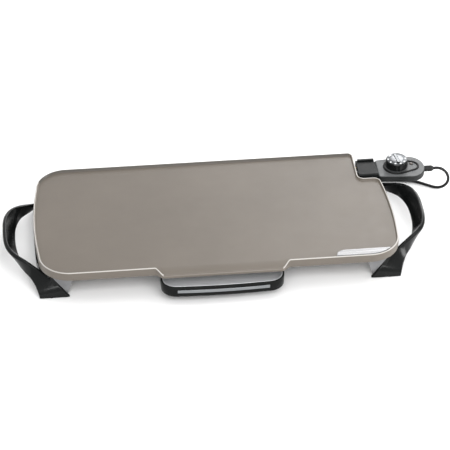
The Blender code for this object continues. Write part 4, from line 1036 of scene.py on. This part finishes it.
def make_hood():
    """The cover over the terminals: a rear wall, two cheeks and a roof with a raised rear lip."""
    rings = []
    for across in span(-HOOD_HALF - 0.0018, HOOD_HALF + 0.0018, 26):
        across = min(max(across, -HOOD_HALF), HOOD_HALF)
        edge = hood_edge(across)
        top = HOOD_TOP - 0.001 * ease((abs(across) / HOOD_HALF - 0.92) / 0.08)
        y = CONTROL_Y + across
        rings.append([(HOOD_NEAR, y, HOOD_LOW), (HOOD_NEAR, y, top - 0.0008), (HOOD_NEAR + 0.0008, y, top),
                      (edge - 0.0006, y, top), (edge, y, top - 0.0006), (edge, y, HOOD_LOW)])
    inner = HOOD_HALF - HOOD_WALL
    rear = CONTROL_Y + HOOD_HALF
    lip_low = (HOOD_NEAR + 0.003, rear - 0.0048, HOOD_TOP - 0.001)
    lip_high = (HOOD_FAR_REAR - 0.001, rear - 0.001, 0.0632)
    cavity_low = (HOOD_NEAR + HOOD_WALL, CONTROL_Y - inner, 0.04)
    cavity_high = (HOOD_FAR_FRONT + 0.01, CONTROL_Y + inner, 0.0585)
    bm = combine(solid(skin, rings), joins=[(add_box, lip_low, lip_high)],
                 cuts=[(add_box, cavity_low, cavity_high), (add_hood_holes,)])
    bevel(add_piece(bm, "terminal_cover", HOOD_PLASTIC, "plate", ("terminal_hood",)), 0.0004)


def add_hood_holes(bm):
    """Openings in the hood's rear wall for the pins, the probe and the hood's screws."""
    add_terminal_bores(bm, start=0.24, length=0.01, pin_bore=0.0042, probe_bore=0.0036)
    add_hood_screw_holes(bm, start=0.24, length=0.01)


# ---- heat control ----
def control_outline(inset):
    """Seen from above: small corners at the plate end, sides that spread, and a round far end."""
    narrow, wide = CONTROL_HALF - inset, CONTROL_WIDE_HALF - inset
    small = 0.003
    corner_x = CONTROL_START + inset + small
    points = arc((corner_x, CONTROL_MIDDLE - narrow + small), small, 180, 270, 6)
    points += arc((CONTROL_WIDE_X, CONTROL_MIDDLE), (CONTROL_END - inset - CONTROL_WIDE_X, wide), -90, 90, 56)
    points += arc((corner_x, CONTROL_MIDDLE + narrow - small), small, 90, 180, 6)
    return points


def control_ring(inset, height):
    return level(control_outline(inset), height)


def add_control_holes(bm):
    """Openings in the nose for the sleeves and the probe, and at the far end for the strain relief."""
    add_terminal_bores(bm, start=NOSE_START - 0.003, length=0.008, pin_bore=0.0036, probe_bore=0.0034)
    add_rod(bm, (CONTROL_END - 0.008, CONTROL_Y, PIN_Z - 0.0004), RIGHT, 0.012, 0.0046)


def add_top_holes(bm):
    """Openings in the top for the knob's shaft and the lens."""
    add_rod(bm, (KNOB_X, CONTROL_Y, 0.054), UP, 0.008, 0.0032)
    add_rod(bm, (*LENS_PLACE, 0.054), UP, 0.008, 0.0024)


def add_nose(bm, low, high, wall=0.0):
    """The part of a shell that reaches under the hood; with a wall, the room inside it, open into the body."""
    half = NOSE_HALF - wall
    into = CONTROL_START + (0.006 if wall else 0.004)
    add_box(bm, (NOSE_START + wall, CONTROL_Y - half, low), (into, CONTROL_Y + half, high))


def make_lower_shell():
    """The base of the plug-in control, open at the top."""
    levels = [(0.0045, 0), (0.0036, 0.0004), (0.001, 0.0024), (0.0002, 0.0032), (0.0, 0.0042), (0.0, 0.0064),
              (0.0003, 0.0067)]
    floor, above = CONTROL_LOW + CONTROL_WALL, 0.06
    hollow = [(0.0045, floor), (CONTROL_WALL, floor + 0.002), (CONTROL_WALL, above)]
    bm = combine(
        solid(skin, [control_ring(inset, CONTROL_LOW + rise) for inset, rise in levels]),
        joins=[(add_nose, NOSE_LOW, CONTROL_SPLIT)],
        cuts=[(skin, [control_ring(*place) for place in hollow]),
              (add_nose, NOSE_LOW + NOSE_WALL, above, NOSE_WALL), (add_control_holes,),
              (add_rod, (0.3395, CONTROL_Y + 0.012, 0.04), UP, 0.0075, 0.0014)])
    add_piece(bm, "control_lower_shell", CHARCOAL, "control", ("control_base",), sharp=35)


def make_upper_shell():
    """The cover of the control, open at the bottom."""
    levels = [(0.0003, CONTROL_SPLIT + GAP), (0.0, CONTROL_SPLIT + 0.0006), (0.0, CONTROL_TOP - 0.0016),
              (0.0002, CONTROL_TOP - 0.001), (0.0006, CONTROL_TOP - 0.0007)]
    below = 0.04
    bm = combine(
        solid(skin, [control_ring(*place) for place in levels]),
        joins=[(add_nose, CONTROL_SPLIT + GAP, NOSE_TOP)],
        cuts=[(skin, [control_ring(CONTROL_WALL, z) for z in (below, CONTROL_TOP - CONTROL_WALL)]),
              (add_nose, below, NOSE_TOP - NOSE_WALL, NOSE_WALL), (add_control_holes,), (add_top_holes,)])
    add_piece(bm, "control_upper_shell", CHARCOAL, "control", ("control_cover",), sharp=35)


def make_top_panel():
    """The grey panel let into the top of the cover."""
    levels = [(0.0007, -0.0007), (0.0006, -0.0004), (0.0009, -0.0001), (0.0015, 0), (0.0022, 0)]
    bm = solid(skin, [control_ring(inset, CONTROL_TOP + rise) for inset, rise in levels])
    bm = combine(bm, cuts=[(add_top_holes,)])
    add_piece(bm, "control_top_panel", CONTROL_GREY, "control", sharp=35)


def hull_outline(offset):
    """The dial surround seen from above: a large circle round the knob drawn out to a smaller one."""
    large, small, apart = 0.0203 + offset, 0.012 + offset, 0.0239
    lean = math.degrees(math.acos((large - small) / apart))
    points = arc((KNOB_X + apart, CONTROL_Y), small, -lean, lean, 24)
    points += arc((KNOB_X, CONTROL_Y), large, lean, 360 - lean, 60)
    return points


def make_dial_surround():
    """A black rounded line that stands up round the dial and the lens."""
    levels = [(-0.0017, 0.0), (-0.0017, 0.0007), (-0.001, 0.0015), (0.001, 0.0015), (0.0017, 0.0007),
              (0.0017, 0.0)]
    rings = [level(hull_outline(offset), CONTROL_TOP + rise) for offset, rise in levels]
    bm = solid(skin, rings, looped=True)
    add_piece(bm, "dial_outline", OUTLINE_BLACK, "control", ("dial_bezel",), sharp=50)


def add_knob_part(bm, base, profile, sides):
    """A turned part of the knob, about the knob's axis."""
    add_turned(bm, (KNOB_X, CONTROL_Y, base), UP, profile, sides)


def make_knob():
    """Flared base, straight side and rounded shoulder, with the finger bar across the top."""
    corners = [(0, 0.0172), (0, 0.0185), (0.0016, 0.0187), (0.006, 0.0181), (0.0106, 0.0178), (0.0115, 0.0171),
               (0.0115, 0.0155)]
    profile = rounded(corners, [0, 0.0004, 0.0008, 0.004, 0.0006, 0.0004, 0], 4, closed=False)
    bar_top = KNOB_TOP - BAR_CAP
    bm = combine(solid(add_knob_part, KNOB_BASE, profile, 96),
                 joins=[(add_finger_bar, KNOB_BASE + 0.01, bar_top)],
                 cuts=[(add_rod, (KNOB_X, CONTROL_Y, KNOB_BASE - 0.002), UP, 0.009, 0.0023)])
    add_piece(bm, "knob_body", PHENOLIC, "knob", ("knob",))
    face_low = KNOB_SHOULDER + GAP
    face_top = face_low + FACE_THICKNESS
    bar_slot = (add_finger_bar, 0.07, KNOB_TOP + 0.004, GAP)
    face = [(0, 0.0165), (0.0001, 0.0167), (0.0005, 0.0167), (FACE_THICKNESS, 0.0165)]
    bm = combine(solid(add_knob_part, face_low, face, 96), cuts=[bar_slot])
    add_piece(bm, "knob_dial", DIAL_METAL, "knob", ("knob_face",))
    disc = [(0, 0.0102), (0.0002, 0.0104), (0.0006, 0.0102), (0.0011, 0.0074), (0.0013, 0.003),
            (0.00135, 0.0004)]
    bm = combine(solid(add_knob_part, face_top, disc, 72), cuts=[bar_slot])
    add_piece(bm, "knob_disc", DISC_METAL, "knob")
    bm = solid(add_finger_bar, bar_top, KNOB_TOP, -0.0005)
    bevel(add_piece(bm, "knob_bar_cap", BAR_METAL, "knob"), 0.0002)
    make_ticks(face_top)


def make_ticks(height):
    """Plain marks round the dial; the off position is a longer one."""
    bm = bmesh.new()
    for degrees, half_span in TICK_PLACES:
        outer = arc((KNOB_X, CONTROL_Y), TICK_OUTER, degrees - half_span, degrees + half_span, 6)
        inner = arc((KNOB_X, CONTROL_Y), TICK_INNER, degrees + half_span, degrees - half_span, 6)
        skin(bm, [level(outer + inner, height + rise) for rise in (0, 0.00012)])
    add_piece(bm, "knob_marks", TICKS, "knob")


def add_finger_bar(bm, low, high, grow=0.0):
    """The raised bar across the knob."""
    along = math.radians(KNOB_TURN)
    half_length, half_width = 0.0125 + grow, 0.0026 + grow
    ends = rounded([(-half_length, -half_width), (half_length, -half_width), (half_length, half_width),
                    (-half_length, half_width)], 0.0012, 4)
    outline = [(KNOB_X + x * math.cos(along) - y * math.sin(along),
                CONTROL_Y + x * math.sin(along) + y * math.cos(along)) for x, y in ends]
    skin(bm, [level(outline, z) for z in (low, high)])


# ---- CAD nodes that stay ----
# Each look and edge width, with how the names of its nodes begin.
KEPT = [
    (STEEL, 0.0003, ("element_clip", "tray_rail", "probe_tube")),
    (STEEL, 0.0002, ("left_", "right_", "thermostat_frame")),
    (STEEL, 0.0001, ("hood_screw", "rail_screw", "control_screw", "knob_shaft")),
    (BRASS, 0.0003, ("terminal_pin",)),
    (BRASS, 0.0002, ("contact_sleeve", "plug_blade")),
    (BRASS, 0.0001, ("bimetal_blade",)),
    (PORCELAIN, 0.0003, ("contact_block",)),
    (PORCELAIN, 0.0002, ("terminal_bushing",)),
    (LENS, 0.0003, ("pilot_lens",)),
    (LAMP, 0.0002, ("pilot_lamp",)),
    (RUBBER, 0.0005, ("plug_body",)),
    (SHEATH, 0.0, ("heating_element",)),
]


def finish_kept_nodes():
    """Give the CAD nodes that stay in view their material and eased edges; the feet are rubber."""
    for name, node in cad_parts.items():
        looks = [(look, width) for look, width, starts in KEPT if name.startswith(starts)]
        if node.hide_render or not looks:
            continue
        look, width = (RUBBER, 0.0003) if name.endswith("_foot") else looks[0]
        node.data.materials.clear()
        node.data.materials.append(look)
        if width:
            bevel(node, width)


# ---- build ----
make_camera()
make_studio()
lead = make_lead()
tie = make_tie()
relief = make_strain_relief()
make_plate()
make_badge()
make_handle("left", -1)
make_handle("right", 1)
make_tray()
make_hood()
make_lower_shell()
make_upper_shell()
make_top_panel()
make_dial_surround()
make_knob()
finish_kept_nodes()
